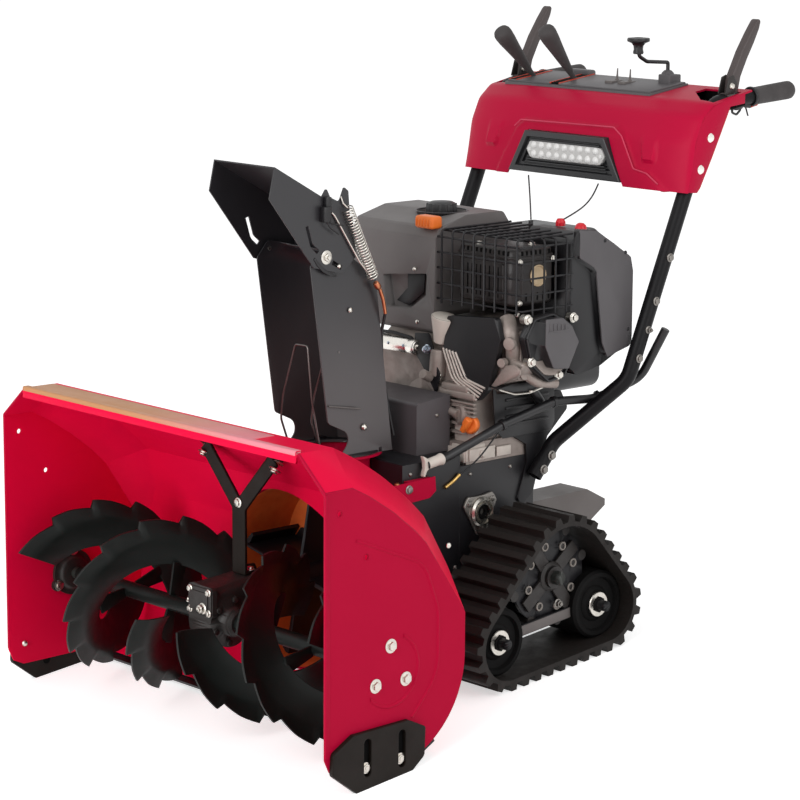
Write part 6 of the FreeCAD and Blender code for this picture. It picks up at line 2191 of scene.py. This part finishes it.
@dataclass
class TrackUnit(SubAssembly):
    """Idler wheels, sprocket rings and tension fittings of the tracks."""

    body: ClassVar[Body] = Body.UNDERCARRIAGE
    placing: ClassVar[Placing] = Placing.TRACK
    outer_x: float = 320.0
    width: float = 140.0
    front_idler: float = -149.0
    rear_idler: float = 100.0
    low: float = -78.0
    pin_circle: float = 58.0
    roller_circle: float = 88.0
    pins: int = 8

    def sprockets(self) -> None:
        """Dress both sprockets with tube ends, spokes and a hub."""
        kit = Kit()
        rims = Kit()
        x = self.outer_x - self.width
        for side in SIDES:
            out = (side, 0, 0)
            for angle in around(self.pins, 10):
                pin = (side * (x + 95), *polar(self.pin_circle, angle))
                rims.turned([(4.6, 0), (8.4, 0), (8.4, 2), (7.6, 3), (5.4, 3), (4.6, 2), (4.6, 0)], pin,
                            out, sides=22)
                kit.turned([(0, 0), (4.8, 0), (4.8, 1.2), (0, 1.2)], pin, out, sides=16)
                kit.turned([(0, 0), (9.6, 0), (10, 2), (10, 44), (9.6, 46), (0, 46)],
                           (side * (x + 45), *polar(self.roller_circle, angle)), out, sides=20)
            low, high = span(side, x + 90, x + 97)
            for angle in around(4, 32):
                kit.block((low, -13, 20), (high, 13, 78), bevel=2.5,
                          place=Matrix.Rotation(angle, 4, "X"))
            kit.turned([(13, 0), (26, 0), (27, 3), (27, 8), (22, 12), (13, 12), (13, 0)],
                       (side * (x + 90), 0, 0), out, sides=32)
            kit.turned([(0, 0), (20, 0), (20, 5), (0, 5)], (side * (x + 103), 0, 0), out, sides=28)
        self.place(kit, "sprocket_spokes_and_rollers", CAST_IRON)
        self.place(rims, "sprocket_tube_ends", WORN_STEEL)

    def idlers(self) -> None:
        """Turn the idler wheels, and cap each with a washer, a hexagon and a bolt."""
        silver = Kit()
        dark = Kit()
        wheels = Kit()
        face = self.outer_x - 30
        inner = self.outer_x - 128
        for side in SIDES:
            out = (side, 0, 0)
            for y in (self.front_idler, self.rear_idler):
                at = (side * face, y, self.low)
                wheels.turned([(0, 0), (57, 0), (61.5, 4), (61.5, 94), (57, 98), (50, 98), (47, 90),
                               (30, 88), (24, 96), (0, 96)], (side * inner, y, self.low), out, sides=64)
                dark.turned([(24, -4), (28, -5), (33, -9), (33, -12), (24, -12), (24, -4)], at, out,
                            sides=48)
                silver.turned([(14, -0.5), (21.5, -0.5), (23, 1), (22, 2.6), (14, 2.6), (14, -0.5)], at,
                              out, sides=40)
                dark.rod((side * (face + 0.5), y, self.low), (side * (face + 5), y, self.low), 15.5,
                         sides=6, bevel=1.2)
                silver.bolt((side * (face + 4.5), y, self.low), out, across=11, height=5,
                            head=Head.BUTTON)
        self.place(wheels, "idler_wheels", WHEEL_PLASTIC,
                   replaces=["idler_wheels_left", "idler_wheels_right"])
        self.place(silver, "idler_washers_and_bolts", ZINC_STEEL)
        self.place(dark, "idler_hub_caps", WHEEL_PLASTIC)

    def tension(self) -> None:
        """Clad the tension bars and set their adjuster bolts."""
        kit = Kit()
        x = self.outer_x - 47
        bolts = Kit()
        for side in SIDES:
            low, high = span(side, x + 5.5, x + 7.5)
            kit.block((low, self.front_idler + 34, self.low - 9),
                      (high, self.rear_idler - 48, self.low + 9), bevel=1.2)
            bolts.bolt((side * (x + 4), 12, self.low + 24), (side, 0, 0), across=12, height=7, washer=17,
                       head=Head.STUD)
        self.place(kit, "tension_bar_faces", GREY_STEEL)
        self.place(bolts, "tension_bolts", DULL_ZINC)

    def build(self) -> None:
        """Make everything on the tracks."""
        self.sprockets()
        self.idlers()
        self.tension()


@dataclass
class CarriedNodes(SubAssembly):
    """Finishes of the nodes that show as the frame carries them."""

    finishes: dict[str, Finish] = field(default_factory=dict)
    sharp: float = 30.0
    tank_end: float = -110.0
    tank_swell: float = 22.0

    def __post_init__(self) -> None:
        """List each node with its finish."""
        groups: tuple[tuple[Finish, tuple[str, ...]], ...] = (
            (PAINTED_LIGHT_ENAMEL, ("housing_wrapper", "side_plate_right")),
            (RED_ENAMEL, ("side_plate_left", "impeller_drum", "chute_base_flange", "wing_brackets")),
            (CONSOLE_PLASTIC, ("dash_shell",)),
            (SHOE_PAINT, ("skid_shoe_left", "skid_shoe_right", "gearbox_brace")),
            (BLACK_POWDER, ("drive_sprocket_left", "drive_sprocket_right", "muffler_guard",
                            "handle_brackets", "track_frame_left", "track_frame_right", "impeller",
                            "scraper_bar")),
            (TUBE_ENAMEL, ("handlebar_left", "handlebar_right")),
            (CHUTE_POWDER, ("chute", "chute_deflector")),
            (CHASSIS_PAINT, ("chassis_frame", "lower_cover")),
            (GREY_STEEL, ("height_pedal",)),
            (COVER_PAINT, ("belt_cover",)),
            (WHEEL_PLASTIC, ("idler_wheels_left", "idler_wheels_right")),
            (HEAT_PAINT, ("muffler",)),
            (CAST_IRON, ("auger_gearbox", "auger_bearings", "shaft_bearings", "axle_bearings")),
            (OXIDE_STEEL, ("auger_shaft", "drive_axle")),
            (BRIGHT_SPRING, ("electric_starter",)),
            (CAST_ALUMINIUM, ("engine_block",)),
            (TANK_PLASTIC, ("fuel_tank",)),
            (CHARCOAL_PLASTIC, ("dash_panel",)),
            (BLACK_PLASTIC, ("air_intake_cover", "cylinder_duct", "valve_cover", "blower_housing",
                             "recoil_starter", "fuel_cap", "work_light", "chute_crank", "control_conduit",
                             "throttle_cable", "plug_lead", "gear_cable")),
            (ORANGE_NYLON, ("filler_plugs",)),
            (RED_CAP, ("plug_cap",)),
            (RIBBON_PAINT, ("auger_flight_left", "auger_flight_right")),
            (TREAD_RUBBER, ("track_left", "track_right")),
            (GRIP_RUBBER, ("hand_grips", "clutch_levers", "shift_levers")),
        )
        for finish, names in groups:
            for name in names:
                self.finishes[name] = finish

    def dress(self, nodes: dict[str, bpy.types.Object]) -> None:
        """Give every carried node its finish, and every one that still shows a smooth skin.

        Args:
            nodes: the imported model's nodes by name.
        """
        for name, node in nodes.items():
            made = self.finishes[name].build()
            node.data.materials.clear()
            node.data.materials.append(made)
            log.info("%s is dressed in %s", name, made.name)
            if not node.hide_render:
                self.skin(name, node)

    def skin(self, name: str, node: bpy.types.Object) -> None:
        """Put a merged copy with smooth curves in place of a node.

        Args:
            name: the node's name.
            node: the node.
        """
        copy = bmesh.new()
        copy.from_mesh(node.data)
        bmesh.ops.remove_doubles(copy, verts=copy.verts, dist=MERGE_DISTANCE * MM)
        if name == "fuel_tank":
            end = [vertex for vertex in copy.verts if vertex.co.x < self.tank_end * MM]
            bmesh.ops.translate(copy, verts=end, vec=(-self.tank_swell * MM, 0, 0))
        data = bpy.data.meshes.new(name + "_skin")
        copy.to_mesh(data)
        copy.free()
        data.materials.append(self.finishes[name].build())
        shade(data, self.sharp)
        piece = add_object(name + "_skin", data)
        even = piece.modifiers.new("even_normals", "WEIGHTED_NORMAL")
        even.keep_sharp = True
        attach(piece, node["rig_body"])
        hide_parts(name)


def main() -> None:
    """Build the studio and every sub-assembly, in order."""
    logging.basicConfig(level=logging.INFO, format="%(message)s")
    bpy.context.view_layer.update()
    Studio().build()
    shop = Workshop()
    ControlCables(shop).build()
    AugerHousing(shop).build()
    AugerRibbons(shop).build()
    DischargeChute(shop).build()
    SilencerUnit(shop).build()
    EngineDress(shop).build()
    ConsoleShell(shop).build()
    WorkLamp(shop).build()
    ConsoleControls(shop).build()
    HandleDress(shop).build()
    ChassisDress(shop).build()
    TrackUnit(shop).build()
    CarriedNodes(shop).dress(frame["nodes"])
    log.info("%d pieces made", shop.made)


if __name__ == "__main__":
    main()
